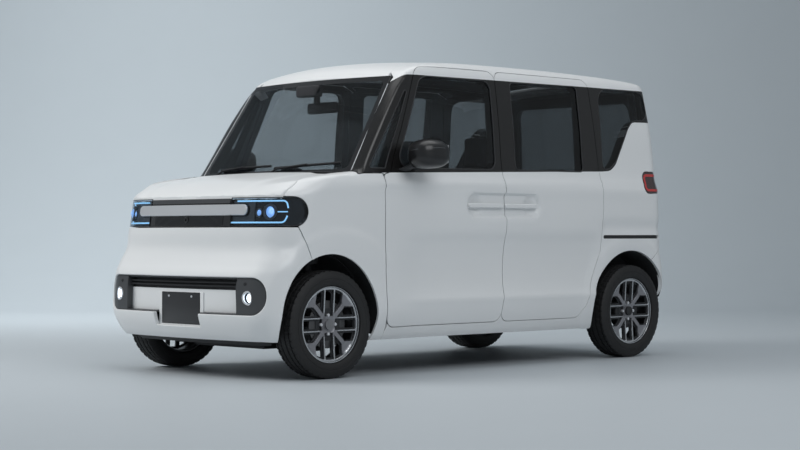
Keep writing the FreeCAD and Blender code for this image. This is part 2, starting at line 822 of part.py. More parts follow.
LAMP_FROM = 0.646 * HALF_WIDE
band = nose_form.common(through_y(band_line, -PAST, PAST)).cut([bay, bonnet_room])
band_lamp = band.common(block((0, LAMP_FROM + FIT, 0), (2 * HALF_LONG, PAST, TALL)))
keep("headlamps", both_sides(one_solid(band_lamp)))
band_middle = band.common(block((0, -LAMP_FROM, 0), (2 * HALF_LONG, LAMP_FROM, TALL)))
keep("grille", one_solid(band_middle))

# Cowl between the bonnet and the screen
cowl_half = WING_FROM - FIT
cowl_low = 0.585 * TALL
cowl_region = block((mm("FirewallFront"), -cowl_half, cowl_low), (BONNET_REAR - GAP, cowl_half, TALL))
cowl = nose_form.common(cowl_region)
cowl = cowl.cut([under_roof, screen_cut, side_region, mirrored(side_region), bonnet_hinge_room])
keep("cowl_panel", one_solid(cowl.fuse(cowl_ears)))

# Firewall, floor and wheel housings
firewall = block(
    (mm("FirewallFront") - mm("FirewallThick"), -WING_FROM + FIT, mm("FloorTop") - mm("FloorThick")),
    (mm("FirewallFront") - FIT, WING_FROM - FIT, cowl_low - FIT),
).cut(both_wells)
keep("firewall", one_solid(firewall))
FLOOR_FRONT = mm("FirewallFront") - mm("FirewallThick") - FIT
LOAD_FRONT = -0.555 * HALF_LONG
LOAD_REAR = -0.944 * HALF_LONG
floor = block(
    (LOAD_FRONT, -SIDE_FROM + FIT, mm("FloorTop") - mm("FloorThick")),
    (FLOOR_FRONT, SIDE_FROM - FIT, mm("FloorTop")),
)
load = block(
    (LOAD_REAR, -SIDE_FROM + FIT, mm("LoadFloorTop") - mm("FloorThick")),
    (LOAD_FRONT, SIDE_FROM - FIT, mm("LoadFloorTop")),
)
riser = block(
    (LOAD_FRONT - mm("FloorThick"), -SIDE_FROM + FIT, mm("FloorTop") - mm("FloorThick")),
    (LOAD_FRONT, SIDE_FROM - FIT, mm("LoadFloorTop")),
)
floor = floor.fuse([load, riser]).removeSplitter().cut(both_wells)
keep("floor_pan", one_solid(floor))


def housing(arch, radius, inner, outside, wall):
    """Liner of a left wheel well, with its inner wall."""
    inside = Vector(arch.x, inner, arch.z)
    across = Vector(0, 1, 0)
    whole = Part.makeCylinder(radius + wall, outside - inner + wall, inside - across * wall, across)
    space = Part.makeCylinder(radius, outside - inner + OVER, inside, across)
    below = block((arch.x - 2 * radius, 0, -OVER), (arch.x + 2 * radius, PAST, arch.z))
    return whole.cut([space, below])


LINER = mm("LinerThick")
STRUT_FOOT = Vector(FRONT_AXLE, mm("StrutSide"), front_arch.z)
STRUT_UP = Vector(0, 0, 1)
tower_tall = mm("StrutTop") - front_arch.z
tower = Part.makeCylinder(mm("TowerRadius") + LINER, tower_tall + LINER, STRUT_FOOT, STRUT_UP)
tower_space = Part.makeCylinder(mm("TowerRadius"), tower_tall, STRUT_FOOT, STRUT_UP)
front_inside = Vector(front_arch.x, front_inner, front_arch.z)
front_space = Part.makeCylinder(mm("FrontArchRadius"), WING_FROM - front_inner, front_inside, Vector(0, 1, 0))
front_housing = housing(front_arch, mm("FrontArchRadius"), front_inner, WING_FROM - FIT, LINER)
front_housing = front_housing.fuse(tower.cut(front_space)).cut(tower_space)
behind_firewall = block((0, 0, 0), (mm("FirewallFront"), PAST, TALL))
ahead_of_bay = block((BAY_FRONT, 0, 0), (2 * HALF_LONG, PAST, TALL))
front_housing = front_housing.cut([behind_firewall, ahead_of_bay])
rear_housing = housing(rear_arch, mm("RearArchRadius"), rear_inner, SIDE_FROM - FIT, LINER)
under_load = block((-HALF_LONG, 0, 0), (0, PAST, mm("LoadFloorTop") + FIT))
behind_load = block((-2 * HALF_LONG, 0, 0), (LOAD_REAR, PAST, TALL))
rear_housing = rear_housing.cut([under_load, behind_load])
keep("wheel_housings", both_sides(one_solid(front_housing), one_solid(rear_housing)))

# Engine, tank and exhaust
ENGINE_X = mm("FirewallFront") + 0.06 * HALF_LONG


def bound_box(label, low, names):
    """Box whose three sizes follow the sheet, from its low corner."""
    piece = doc.addObject("Part::Box", label)
    piece.Label = label
    for side, name in zip(("Length", "Width", "Height"), names):
        piece.setExpression(side, "Sizes." + name)
    piece.Placement = FreeCAD.Placement(Vector(*low), FreeCAD.Rotation())
    PIECES.append(piece)
    return piece


engine_low = (ENGINE_X, -mm("EngineWide") / 2, mm("EngineBottom"))
bound_box("engine_block", engine_low, ("EngineLong", "EngineWide", "EngineTall"))
TANK_Z = mm("FloorTop") - mm("FloorThick") - FIT - mm("TankTall")
bound_box("fuel_tank", (-0.09 * HALF_LONG, -mm("TankWide") / 2, TANK_Z), ("TankLong", "TankWide", "TankTall"))


def add_outline(sketch, points):
    """Closed run of straight lines through points in a sketch."""
    for i, (u, v) in enumerate(points):
        last = points[i - 1]
        sketch.addGeometry(Part.LineSegment(Vector(last[0], last[1], 0), Vector(u, v, 0)), False)


def add_ring(sketch, u, v, radius):
    """Circle in a sketch."""
    sketch.addGeometry(Part.Circle(Vector(u, v, 0), Vector(0, 0, 1), radius), False)


def new_body(label, place, turned=0):
    """Empty body at a place, turned about the vertical."""
    body = doc.addObject("PartDesign::Body", label)
    body.Label = label
    body.Placement = FreeCAD.Placement(place, FreeCAD.Rotation(Vector(0, 0, 1), turned))
    PIECES.append(body)
    return body


def new_sketch(body, role):
    """Sketch on one of a body's own origin planes."""
    plane = [feature for feature in body.Origin.OriginFeatures if feature.Role == role][0]
    sketch = body.newObject("Sketcher::SketchObject", body.Label + "_sketch")
    sketch.AttachmentSupport = (plane, "")
    sketch.MapMode = "FlatFace"
    return sketch


def turn_about(body, sketch, axis):
    """Revolve a sketch a full turn about one of its own axes."""
    feature = body.newObject("PartDesign::Revolution", body.Label + "_turn")
    feature.Profile = sketch
    feature.ReferenceAxis = (sketch, [axis])
    feature.Angle = 360
    return feature


# Wheels
RIM_EDGE = mm("RimWidth") / 2
TREAD_EDGE = mm("TyreWidth") / 2 - mm("ShoulderWide")
SHOULDER_RADIUS = mm("TyreRadius") - mm("ShoulderTall")


def tyre(label, place):
    """Tyre, turned about its axle."""
    body = new_body(label, place)
    sketch = new_sketch(body, "YZ_Plane")
    half = [
        (mm("TyreWidth") / 2, mm("RimRadius") + FIT),
        (mm("TyreWidth") / 2, SHOULDER_RADIUS),
        (TREAD_EDGE, mm("TyreRadius")),
    ]
    add_outline(sketch, half + [(-y, r) for y, r in reversed(half)])
    turn_about(body, sketch, "H_Axis")


def rim(label, place, turned, brake_radius, brake_deep):
    """Alloy rim with its pierced face and the brake rotor that turns with it."""
    body = new_body(label, place, turned)
    sketch = new_sketch(body, "YZ_Plane")
    face_out = mm("RimFaceOut")
    face_in = face_out - mm("RimFaceThick")
    inside = mm("RimRadius") - mm("RimWall")
    hub_in = face_in - brake_deep
    outline = [
        (RIM_EDGE, inside),
        (RIM_EDGE, mm("RimRadius")),
        (-RIM_EDGE, mm("RimRadius")),
        (-RIM_EDGE, inside),
        (face_in, inside),
        (face_in, brake_radius),
        (hub_in, brake_radius),
        (hub_in, mm("HubBore")),
        (face_out, mm("HubBore")),
        (face_out, inside),
    ]
    add_outline(sketch, outline)
    turn_about(body, sketch, "H_Axis")
    doc.recompute()
    solid_volume = body.Shape.Volume
    holes = new_sketch(body, "XZ_Plane")
    holes.AttachmentOffset = FreeCAD.Placement(Vector(0, 0, -face_out), FreeCAD.Rotation())
    reach = inside * 0.93
    start = mm("HubRadius") * 1.30
    rib = 0.15 * inside
    wall = 0.050 * inside
    add_outline(
        holes,
        [(-rib + wall, start), (rib - wall, start), (rib - wall, reach), (-rib + wall, reach)],
    )
    for side in (1, -1):
        add_outline(
            holes,
            [
                (side * (rib + wall), start * 1.05),
                (side * (rib + 2.2 * wall), start * 1.15),
                (side * (rib + 5.6 * wall), reach * 0.86),
                (side * (rib + wall), reach * 0.97),
            ],
        )
    pocket = body.newObject("PartDesign::Pocket", label + "_windows")
    pocket.Profile = holes
    pocket.Type = "Length"
    pocket.Reversed = True
    pocket.setExpression("Length", "Sizes.RimFaceThick")
    pattern = body.newObject("PartDesign::PolarPattern", label + "_ring")
    pattern.Originals = [pocket]
    pattern.Axis = (holes, ["N_Axis"])
    pattern.Angle = 360
    pattern.Occurrences = 4
    body.Tip = pattern
    doc.recompute()
    if body.Shape.Volume > 0.97 * solid_volume:
        raise RuntimeError(label + " has no windows")


for end, axle_x in (("front", FRONT_AXLE), ("rear", REAR_AXLE)):
    for side, way in (("left", 1), ("right", -1)):
        centre = Vector(axle_x, way * WHEEL_SIDE, AXLE_HEIGHT)
        tyre("tyre_%s_%s" % (end, side), centre)
        brake = ("DiscRadius", "DiscThick") if end == "front" else ("DrumRadius", "DrumDepth")
        rim("rim_%s_%s" % (end, side), centre, 90 - 90 * way, mm(brake[0]), mm(brake[1]))

# Front knuckles: an upright, its stub and the ball joint eye below
FACE_IN = mm("RimFaceOut") - mm("RimFaceThick")
ROTOR_IN = WHEEL_SIDE + FACE_IN - mm("DiscThick")
UPRIGHT_OUT = ROTOR_IN - GAP
UPRIGHT_IN = UPRIGHT_OUT - mm("UprightThick")
KINGPIN_Y = WHEEL_SIDE - mm("KingpinInset")
KNUCKLE_LOW = AXLE_HEIGHT - mm("UprightTall") / 2
KNUCKLE_HIGH = AXLE_HEIGHT + mm("UprightTall") / 2
EYE_HALF = mm("ArmWide") / 2
upright = block(
    (FRONT_AXLE - mm("UprightLong") / 2, UPRIGHT_IN, KNUCKLE_LOW),
    (FRONT_AXLE + mm("UprightLong") / 2, UPRIGHT_OUT, KNUCKLE_HIGH),
)
lower_eye = block(
    (FRONT_AXLE - EYE_HALF, KINGPIN_Y - EYE_HALF, KNUCKLE_LOW),
    (FRONT_AXLE + EYE_HALF, UPRIGHT_OUT, KNUCKLE_LOW + mm("ArmThick")),
)
upper_eye = block(
    (FRONT_AXLE - EYE_HALF, KINGPIN_Y - EYE_HALF, KNUCKLE_HIGH - mm("ArmThick")),
    (FRONT_AXLE + EYE_HALF, UPRIGHT_OUT, KNUCKLE_HIGH),
)
stub = rod(
    Vector(FRONT_AXLE, UPRIGHT_IN, AXLE_HEIGHT),
    Vector(FRONT_AXLE, WHEEL_SIDE + mm("RimFaceOut"), AXLE_HEIGHT),
    mm("StubRadius"),
)
caliper = block(
    (FRONT_AXLE - mm("DiscRadius"), UPRIGHT_IN, AXLE_HEIGHT - mm("UprightLong") / 2),
    (FRONT_AXLE - mm("UprightLong") / 2 + GAP, UPRIGHT_OUT, AXLE_HEIGHT + mm("UprightLong") / 2),
)
knuckle = upright.fuse([lower_eye, upper_eye, stub, caliper]).removeSplitter()
keep_pair("knuckle", one_solid(knuckle))

# Front suspension: struts on brackets over the knuckles, arms below them, and the subframe
arm_low = KNUCKLE_LOW - FIT - mm("ArmThick")
arm = block(
    (FRONT_AXLE - EYE_HALF, 0, arm_low), (FRONT_AXLE + EYE_HALF, KINGPIN_Y + EYE_HALF, KNUCKLE_LOW - FIT)
)
subframe_top = BAY_LOW
subframe_rear = mm("FirewallFront") - 2 * mm("FirewallThick") - mm("ArmWide")
subframe_side = front_inner - mm("ArmWide")
subframe = block(
    (subframe_rear, -subframe_side, arm_low),
    (FRONT_AXLE + 2 * mm("ArmWide"), subframe_side, subframe_top),
)
subframe_window = block(
    (subframe_rear + mm("ArmWide"), mm("ArmWide") - subframe_side, 0),
    (FRONT_AXLE - mm("ArmWide"), subframe_side - mm("ArmWide"), TALL),
)
subframe = subframe.cut(subframe_window).fuse([arm, mirrored(arm)]).removeSplitter()
bracket_low = KNUCKLE_HIGH + FIT
bracket = block(
    (FRONT_AXLE - EYE_HALF, mm("StrutSide") - mm("StrutRadius"), bracket_low),
    (FRONT_AXLE + EYE_HALF, KINGPIN_Y + EYE_HALF, bracket_low + mm("ArmThick")),
)
STRUT_HEAD = Vector(FRONT_AXLE, mm("StrutSide"), mm("StrutTop") - FIT)
strut = rod(Vector(FRONT_AXLE, mm("StrutSide"), bracket_low), STRUT_HEAD, mm("StrutRadius"))
spring = rod(STRUT_HEAD - STRUT_UP * mm("SpringTall"), STRUT_HEAD - STRUT_UP * GAP, mm("SpringRadius"))
left_strut = strut.fuse([spring, bracket]).removeSplitter()
keep("front_suspension", Part.makeCompound([subframe, left_strut, mirrored(left_strut)]))

# Rear axle: a beam between two trailing arms, with the hubs' stubs
ARM_OUT = WHEEL_SIDE - mm("TyreWidth") / 2 - 2 * GAP
ARM_IN = ARM_OUT - mm("UprightThick")
BEAM_X = REAR_AXLE + mm("RearArchRadius") * 0.55
PIVOT_X = rear_arch.x + mm("RearArchRadius") - 3 * FIT
beam_end = Vector(BEAM_X, ARM_IN + FIT, AXLE_HEIGHT)
beam = rod(Vector(BEAM_X, -beam_end.y, AXLE_HEIGHT), beam_end, mm("BeamRadius"))
trail = block(
    (REAR_AXLE - mm("ArmWide"), ARM_IN, AXLE_HEIGHT - mm("BeamRadius")),
    (PIVOT_X, ARM_OUT, AXLE_HEIGHT + mm("BeamRadius")),
)
boss = rod(
    Vector(REAR_AXLE, ARM_IN, AXLE_HEIGHT),
    Vector(REAR_AXLE, WHEEL_SIDE + FACE_IN - mm("DrumDepth") - GAP, AXLE_HEIGHT),
    mm("BeamRadius"),
)
rear_stub = rod(
    Vector(REAR_AXLE, ARM_IN, AXLE_HEIGHT),
    Vector(REAR_AXLE, WHEEL_SIDE + mm("RimFaceOut"), AXLE_HEIGHT),
    mm("StubRadius"),
)
half_axle = trail.fuse([boss, rear_stub])
keep("rear_axle", beam.fuse([half_axle, mirrored(half_axle)]).removeSplitter())

# Muffler across the tail, under the load floor
MUFFLER_X = -0.870 * HALF_LONG
MUFFLER_Z = mm("LoadFloorTop") - mm("FloorThick") - FIT - mm("MufflerRadius")
muffler_end = Vector(MUFFLER_X, -mm("MufflerLong"), MUFFLER_Z)
keep("muffler", rod(muffler_end, Vector(MUFFLER_X, 0, MUFFLER_Z), mm("MufflerRadius")))

# Seats: a cushion and a leaned back in one profile
SEAT_FOOT = mm("FloorTop") + FIT
FRONT_SEAT_SHARES = [
    (-0.100, 0.000),
    (0.180, 0.000),
    (0.190, 0.095),
    (0.290, 0.105),
    (0.290, 0.170),
    (0.000, 0.155),
    (-0.130, 0.480),
    (-0.135, 0.600),
    (-0.195, 0.600),
    (-0.215, 0.440),
    (-0.090, 0.090),
    (-0.100, 0.080),
]
REAR_SEAT_SHARES = [
    (-0.075, 0.000),
    (0.200, 0.000),
    (0.235, 0.080),
    (0.235, 0.175),
    (0.000, 0.160),
    (-0.115, 0.500),
    (-0.170, 0.500),
    (-0.190, 0.440),
    (-0.085, 0.120),
]


def seat_profile(shares, hip):
    """Seat outline above the floor, from its hip point's share of half the length."""
    return [Vector((hip + along) * HALF_LONG, 0, SEAT_FOOT + up * TALL) for along, up in shares]


front_seat_line = rounded(seat_profile(FRONT_SEAT_SHARES, -0.045), mm("SeatRound"))
rear_seat_line = rounded(seat_profile(REAR_SEAT_SHARES, -0.475), mm("SeatRound"))
seat_in = (mm("SeatSpacing") - mm("SeatWide")) / 2
front_seat = through_y(front_seat_line, seat_in, seat_in + mm("SeatWide"))
keep("front_seats", both_sides(front_seat))
keep("rear_seat", through_y(rear_seat_line, -mm("RearSeatWide") / 2, mm("RearSeatWide") / 2))

# Dashboard across the cabin, and the wheel in front of the right seat
DASH_REAR = 0.385 * HALF_LONG
DASH_FRONT = FLOOR_FRONT
dash_body = new_body("dashboard", Vector(0, 0, 0))
dash_sketch = new_sketch(dash_body, "XZ_Plane")
add_outline(
    dash_sketch,
    [
        (DASH_FRONT, 0.36 * TALL),
        (DASH_FRONT, 0.583 * TALL),
        (DASH_REAR + 0.05 * HALF_LONG, 0.578 * TALL),
        (DASH_REAR, 0.555 * TALL),
        (DASH_REAR, 0.46 * TALL),
        (DASH_REAR + 0.06 * HALF_LONG, 0.37 * TALL),
    ],
)
dash_pad = dash_body.newObject("PartDesign::Pad", "dashboard_pad")
dash_pad.Profile = dash_sketch
dash_pad.Midplane = True
dash_pad.setExpression("Length", "Sizes.DashWide")

COLUMN_LEAN = mm("ColumnLean")
column_way = Vector(-math.cos(math.radians(COLUMN_LEAN)), 0, math.sin(math.radians(COLUMN_LEAN)))
STEER_CENTRE = Vector(0.297 * HALF_LONG, -mm("SteeringSide"), 0.565 * TALL)
grip = mm("SteeringGrip")
steering = new_body("steering_wheel", STEER_CENTRE)
steering.Placement = FreeCAD.Placement(STEER_CENTRE, FreeCAD.Rotation(Vector(0, 0, 1), column_way))
ring_sketch = new_sketch(steering, "XZ_Plane")
add_outline(
    ring_sketch,
    [
        (
            mm("SteeringRadius") + grip * math.cos(math.radians(72 * i)),
            grip * math.sin(math.radians(72 * i)),
        )
        for i in range(5)
    ],
)
turn_about(steering, ring_sketch, "V_Axis")
hub_sketch = new_sketch(steering, "XY_Plane")
spoke_half = 1.2 * grip
spoke_reach = mm("SteeringRadius")
add_outline(
    hub_sketch,
    [
        (-spoke_half, -spoke_reach),
        (spoke_half, -spoke_reach),
        (spoke_half, spoke_reach),
        (-spoke_half, spoke_reach),
    ],
)
spokes = steering.newObject("PartDesign::Pad", "steering_spokes")
spokes.Profile = hub_sketch
spokes.Midplane = True
spokes.setExpression("Length", "Sizes.SteeringGrip * 0.8")
boss_sketch = new_sketch(steering, "XY_Plane")
add_ring(boss_sketch, 0, 0, mm("SteeringHub"))
boss_pad = steering.newObject("PartDesign::Pad", "steering_boss")
boss_pad.Profile = boss_sketch
boss_pad.Midplane = True
boss_pad.setExpression("Length", "Sizes.SteeringGrip * 3")
shaft_sketch = new_sketch(steering, "XY_Plane")
add_ring(shaft_sketch, 0, 0, mm("ColumnRadius"))
shaft_pad = steering.newObject("PartDesign::Pad", "steering_shaft")
shaft_pad.Profile = shaft_sketch
shaft_pad.Reversed = True
shaft_run = DASH_REAR - FIT - STEER_CENTRE.x - mm("ColumnRadius") * column_way.z
shaft_pad.Length = shaft_run / -column_way.x
steering.Tip = shaft_pad

# Door mirrors on arms from the doors' front corners
MIRROR_CENTRE = Vector(0.368 * HALF_LONG, 1.135 * HALF_WIDE, 0.676 * TALL)
mirror_half = Vector(mm("MirrorDeep"), mm("MirrorWide"), mm("MirrorTall")) / 2
mirror_case = block(MIRROR_CENTRE - mirror_half, MIRROR_CENTRE + mirror_half)
mirror_case = mirror_case.makeChamfer(mm("MirrorRound"), mirror_case.Edges)
ARM_Z = 0.625 * TALL
mirror_arm = block(
    (MIRROR_CENTRE.x - mm("MirrorRound"), 0.9 * HALF_WIDE, ARM_Z - mm("MirrorRound") / 2),
    MIRROR_CENTRE + Vector(mm("MirrorRound"), 0, mm("MirrorRound") - mirror_half.z),
).cut(outer)
keep_pair("mirror", one_solid(mirror_case.fuse(mirror_arm)))

# Wipers parked at the screen's foot
SCREEN_FOOT = Vector(0.639 * HALF_LONG, 0, 0.614 * TALL)
SCREEN_HEAD = Vector(0.418 * HALF_LONG, 0, 0.925 * TALL)
SCREEN_SLOPE = (SCREEN_FOOT.x - SCREEN_HEAD.x) / (SCREEN_HEAD.z - SCREEN_FOOT.z)


def on_screen(across, height, off):
    """Point at a distance off the screen, at a share of half the width and of the height."""
    y = across * HALF_WIDE
    back = y * y / (2 * mm("ScreenRadius"))
    z = height * TALL
    x = SCREEN_FOOT.x - (z - SCREEN_FOOT.z) * SCREEN_SLOPE - back
    return Vector(x, y, z) + screen_way * off


WIPER_SHARES = [
    [(-0.58, 0.6340), (-0.26, 0.6390), (0.06, 0.6415)],
    [(0.12, 0.6340), (0.46, 0.6400), (0.76, 0.6450)],
]
wipers = []
for points in WIPER_SHARES:
    line = [on_screen(across, height, 2 * mm("WiperRadius") + GAP) for across, height in points]
    arm = bar(line[0], line[1], mm("WiperRadius")).fuse(bar(line[1], line[2], mm("WiperRadius")))
    spindle = block(
        (line[0].x - GAP, line[0].y - GAP, line[0].z - 8 * GAP),
        (line[0].x + 2 * GAP, line[0].y + GAP, line[0].z),
    )
    spindle = one_solid(spindle.cut([nose_form.translated(Vector(0, 0, FIT)), under_roof]))
    wipers.append(one_solid(arm.fuse(spindle)))
keep("wipers", Part.makeCompound(wipers))

# Blank plate, its two holes run on into the bumper
keep("front_plate", plate.cut(plate_bolts))

doc.recompute()
for item in doc.Objects:
    if "Invalid" in item.State or "Error" in item.State:
        raise RuntimeError(item.Label + " failed: " + str(item.State))
os.makedirs("parts", exist_ok=True)
for piece in PIECES:
    shape = piece.Shape
    if shape.isNull() or not shape.isValid():
        raise RuntimeError(piece.Label + " has no valid shape")
for piece in PIECES:
    piece.Shape.exportStep("parts/%s.step" % piece.Label)
    print(piece.Label, round(piece.Shape.Volume / 1e6, 2))
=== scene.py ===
"""Kei car: a tall wagon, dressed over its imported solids. Metres, X forward, Y left, Z up."""
import logging
import math
from dataclasses import dataclass, field
from enum import Enum
from typing import Callable, Sequence

import bpy
import numpy as np
from mathutils import Matrix, Vector
from mathutils.geometry import delaunay_2d_cdt


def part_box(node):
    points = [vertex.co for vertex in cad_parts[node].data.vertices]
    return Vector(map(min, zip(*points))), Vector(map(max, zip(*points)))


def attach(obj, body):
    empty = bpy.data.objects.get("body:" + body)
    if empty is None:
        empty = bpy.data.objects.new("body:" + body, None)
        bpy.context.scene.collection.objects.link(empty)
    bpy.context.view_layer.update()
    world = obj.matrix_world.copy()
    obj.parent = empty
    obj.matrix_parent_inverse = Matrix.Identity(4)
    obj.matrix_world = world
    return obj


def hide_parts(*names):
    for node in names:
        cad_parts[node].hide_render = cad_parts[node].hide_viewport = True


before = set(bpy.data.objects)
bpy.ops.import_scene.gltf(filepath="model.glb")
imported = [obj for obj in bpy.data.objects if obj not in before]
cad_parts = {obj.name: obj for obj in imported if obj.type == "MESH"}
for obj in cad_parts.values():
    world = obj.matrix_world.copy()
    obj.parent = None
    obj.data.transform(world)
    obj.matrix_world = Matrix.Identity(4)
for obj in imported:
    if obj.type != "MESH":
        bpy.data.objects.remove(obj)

log = logging.getLogger("kei_car")
Loop = np.ndarray
Colour = tuple[float, float, float]

HALF_LONG = 1.6975
HALF_WIDE = 0.7375
TALL = 1.790
SHUT = 0.005
STEP = 0.016
GRID_ROOM = 0.42
SLAB_BEVEL_ANGLE = 50.0
BUMP_DEPTH = 0.001
COAT_ROUGH_MOST = 0.25
COAT_ROUGH_SHARE = 0.8
BODY_IOR = 1.12
SHEET_IOR = 1.48
SHEET_SHARE = 0.94
GLASS_ROUGH = 0.015


class Side(Enum):
    """Side of the car."""

    LEFT = 1
    RIGHT = -1

    @property
    def word(self) -> str:
        """Its name in the names of pieces."""
        return self.name.lower()


class Mix(Enum):
    """How a finish lets light through."""

    SOLID = "solid"
    GLASS = "glass"
    LIGHT = "light"


# ---------------------------------------------------------------- finishes
@dataclass(frozen=True)
class Finish:
    """One finish: two close colours under a fine grain, with its gloss."""

    name: str
    light: Colour
    dark: Colour
    rough: float = 0.4
    rough_spread: float = 0.08
    metallic: float = 0.0
    coat: float = 0.0
    grain: float = 60.0
    relief: float = 0.05
    glow: float = 0.0
    mix: Mix = Mix.SOLID
    weave: float = 0.0


def feed(tree: bpy.types.NodeTree, fed: bpy.types.Node, inputs: dict[str | int, object]) -> None:
    """Link or set the inputs of a node.

    Args:
        tree: Its node tree.
        fed: The node.
        inputs: A socket to link or a value to set, by input.
    """
    for name, value in inputs.items():
        if isinstance(value, bpy.types.NodeSocket):
            tree.links.new(value, fed.inputs[name])
        else:
            fed.inputs[name].default_value = value


def node(tree: bpy.types.NodeTree, kind: str, inputs: dict[str | int, object], **settings: object) -> bpy.types.Node:
    """New shader node with its settings, then its links and values.

    Args:
        tree: Node tree that it joins.
        kind: Its type without the leading word.
        inputs: A socket to link or a value to set, by input.
        settings: Its own settings.

    Returns:
        The node.
    """
    new = tree.nodes.new(f"ShaderNode{kind}")
    for name, value in settings.items():
        setattr(new, name, value)
    feed(tree, new, inputs)
    return new


def calc(tree: bpy.types.NodeTree, operation: str, *terms: object) -> bpy.types.NodeSocket:
    """Result of a calculation on sockets or values."""
    return node(tree, "Math", dict(enumerate(terms)), operation=operation).outputs[0]


def group(name: str, inputs: Sequence[str], outputs: Sequence[str]) -> bpy.types.NodeTree:
    """New node group with named sockets.

    Args:
        name: Its name.
        inputs: Names of its inputs.
        outputs: Names of its outputs.

    Returns:
        The group.
    """
    tree = bpy.data.node_groups.new(name, "ShaderNodeTree")
    for way, words in (("INPUT", inputs), ("OUTPUT", outputs)):
        for word in words:
            kind = "NodeSocketColor" if word in ("Light", "Dark", "Color") else "NodeSocketFloat"
            tree.interface.new_socket(word, in_out=way, socket_type=kind)
    return tree


class Finishes:
    """Builds each finish once, over shared node groups."""

    def __init__(self) -> None:
        """Make the shared groups."""
        self.made: dict[str, bpy.types.Material] = {}
        self.grain_group = self._grain()
        self.weave_group = self._weave()

    @staticmethod
    def _grain() -> bpy.types.NodeTree:
        """Group that varies colour and gloss over two scales of noise.

        Returns:
            The node group.
        """
        tree = group("surface_grain", ("Light", "Dark", "Scale", "Rough", "Spread"), ("Color", "Roughness", "Height"))
        put, out = tree.nodes.new("NodeGroupInput").outputs, tree.nodes.new("NodeGroupOutput")
        place = node(tree, "TexCoord", {}).outputs["Object"]
        fine = node(tree, "TexNoise", {"Vector": place, "Scale": put["Scale"], "Detail": 4.0}).outputs["Fac"]
        broad = node(tree, "TexNoise", {"Vector": place, "Scale": 2.3, "Detail": 2.0}).outputs["Fac"]
        blend = calc(tree, "MULTIPLY_ADD", fine, 0.6, calc(tree, "MULTIPLY", broad, 0.4))
        colour = node(tree, "Mix", {"Factor": blend, "A": put["Dark"], "B": put["Light"]}, data_type="RGBA")
        gloss = calc(tree, "MULTIPLY_ADD", calc(tree, "SUBTRACT", blend, 0.5), put["Spread"], put["Rough"])
        feed(tree, out, {"Color": colour.outputs["Result"], "Roughness": gloss, "Height": fine})
        return tree

    @staticmethod
    def _weave() -> bpy.types.NodeTree:
        """Group of crossed threads for cloth and fine mesh.

        Returns:
            The node group.
        """
        tree = group("thread_weave", ("Scale",), ("Height",))
        put, out = tree.nodes.new("NodeGroupInput").outputs, tree.nodes.new("NodeGroupOutput")
        inputs = {"Vector": node(tree, "TexCoord", {}).outputs["Object"], "Scale": put["Scale"], "Distortion": 0.4}
        waves = [node(tree, "TexWave", inputs, bands_direction=way).outputs["Fac"] for way in ("X", "Z", "Y")]
        feed(tree, out, {"Height": calc(tree, "MULTIPLY", calc(tree, "MULTIPLY", waves[0], waves[1]), waves[2])})
        return tree

    def get(self, finish: Finish) -> bpy.types.Material:
        """Material of a finish, made at its first use.

        Args:
            finish: The finish.

        Returns:
            Its material.
        """
        if finish.name in self.made:
            return self.made[finish.name]
        material = self.made[finish.name] = bpy.data.materials.new(finish.name)
        material.use_nodes = True
        tree = material.node_tree
        shader = tree.nodes["Principled BSDF"]
        grain = node(tree, "Group", {
            "Light": (*finish.light, 1.0), "Dark": (*finish.dark, 1.0), "Scale": finish.grain,
            "Rough": finish.rough, "Spread": finish.rough_spread,
        }, node_tree=self.grain_group).outputs
        height = grain["Height"]
        if finish.weave > 0.0:
            height = node(tree, "Group", {"Scale": finish.weave}, node_tree=self.weave_group).outputs["Height"]
        bump = node(tree, "Bump", {"Strength": finish.relief, "Distance": BUMP_DEPTH, "Height": height})
        feed(tree, shader, {
            "Normal": bump.outputs["Normal"], "Base Color": grain["Color"], "Roughness": grain["Roughness"],
            "Metallic": finish.metallic, "Coat Weight": finish.coat,
            "Coat Roughness": min(COAT_ROUGH_MOST, COAT_ROUGH_SHARE * finish.rough),
        })
        if finish.mix is Mix.LIGHT:
            feed(tree, shader, {"Emission Color": grain["Color"], "Emission Strength": finish.glow})
        if finish.mix is Mix.GLASS:
            self._see_through(tree, finish, shader)
        return material

    @staticmethod
    def _see_through(tree: bpy.types.NodeTree, finish: Finish, shader: bpy.types.Node) -> None:
        """Turn a finish into glass that also lets the lamps' light in.

        Args:
            tree: The material's nodes.
            finish: Its finish.
            shader: Its main shader.
        """
        feed(tree, shader, {"Transmission Weight": 1.0, "IOR": BODY_IOR})
        clear = node(tree, "BsdfTransparent", {"Color": (*finish.light, 1.0)}).outputs[0]
        gloss = node(tree, "BsdfGlossy", {"Roughness": GLASS_ROUGH}).outputs[0]
        mirror = node(tree, "Fresnel", {"IOR": SHEET_IOR}).outputs[0]
        front = calc(tree, "SUBTRACT", 1.0, node(tree, "NewGeometry", {}).outputs["Backfacing"])
        sheet = node(tree, "MixShader", {0: calc(tree, "MULTIPLY", mirror, front), 1: clear, 2: gloss}).outputs[0]
        shadow = node(tree, "LightPath", {}).outputs["Is Shadow Ray"]
        either = node(tree, "MixShader", {0: shadow, 1: sheet, 2: clear}).outputs[0]
        last = node(tree, "MixShader", {0: SHEET_SHARE, 1: shader.outputs[0], 2: either}).outputs[0]
        feed(tree, tree.nodes["Material Output"], {"Surface": last})


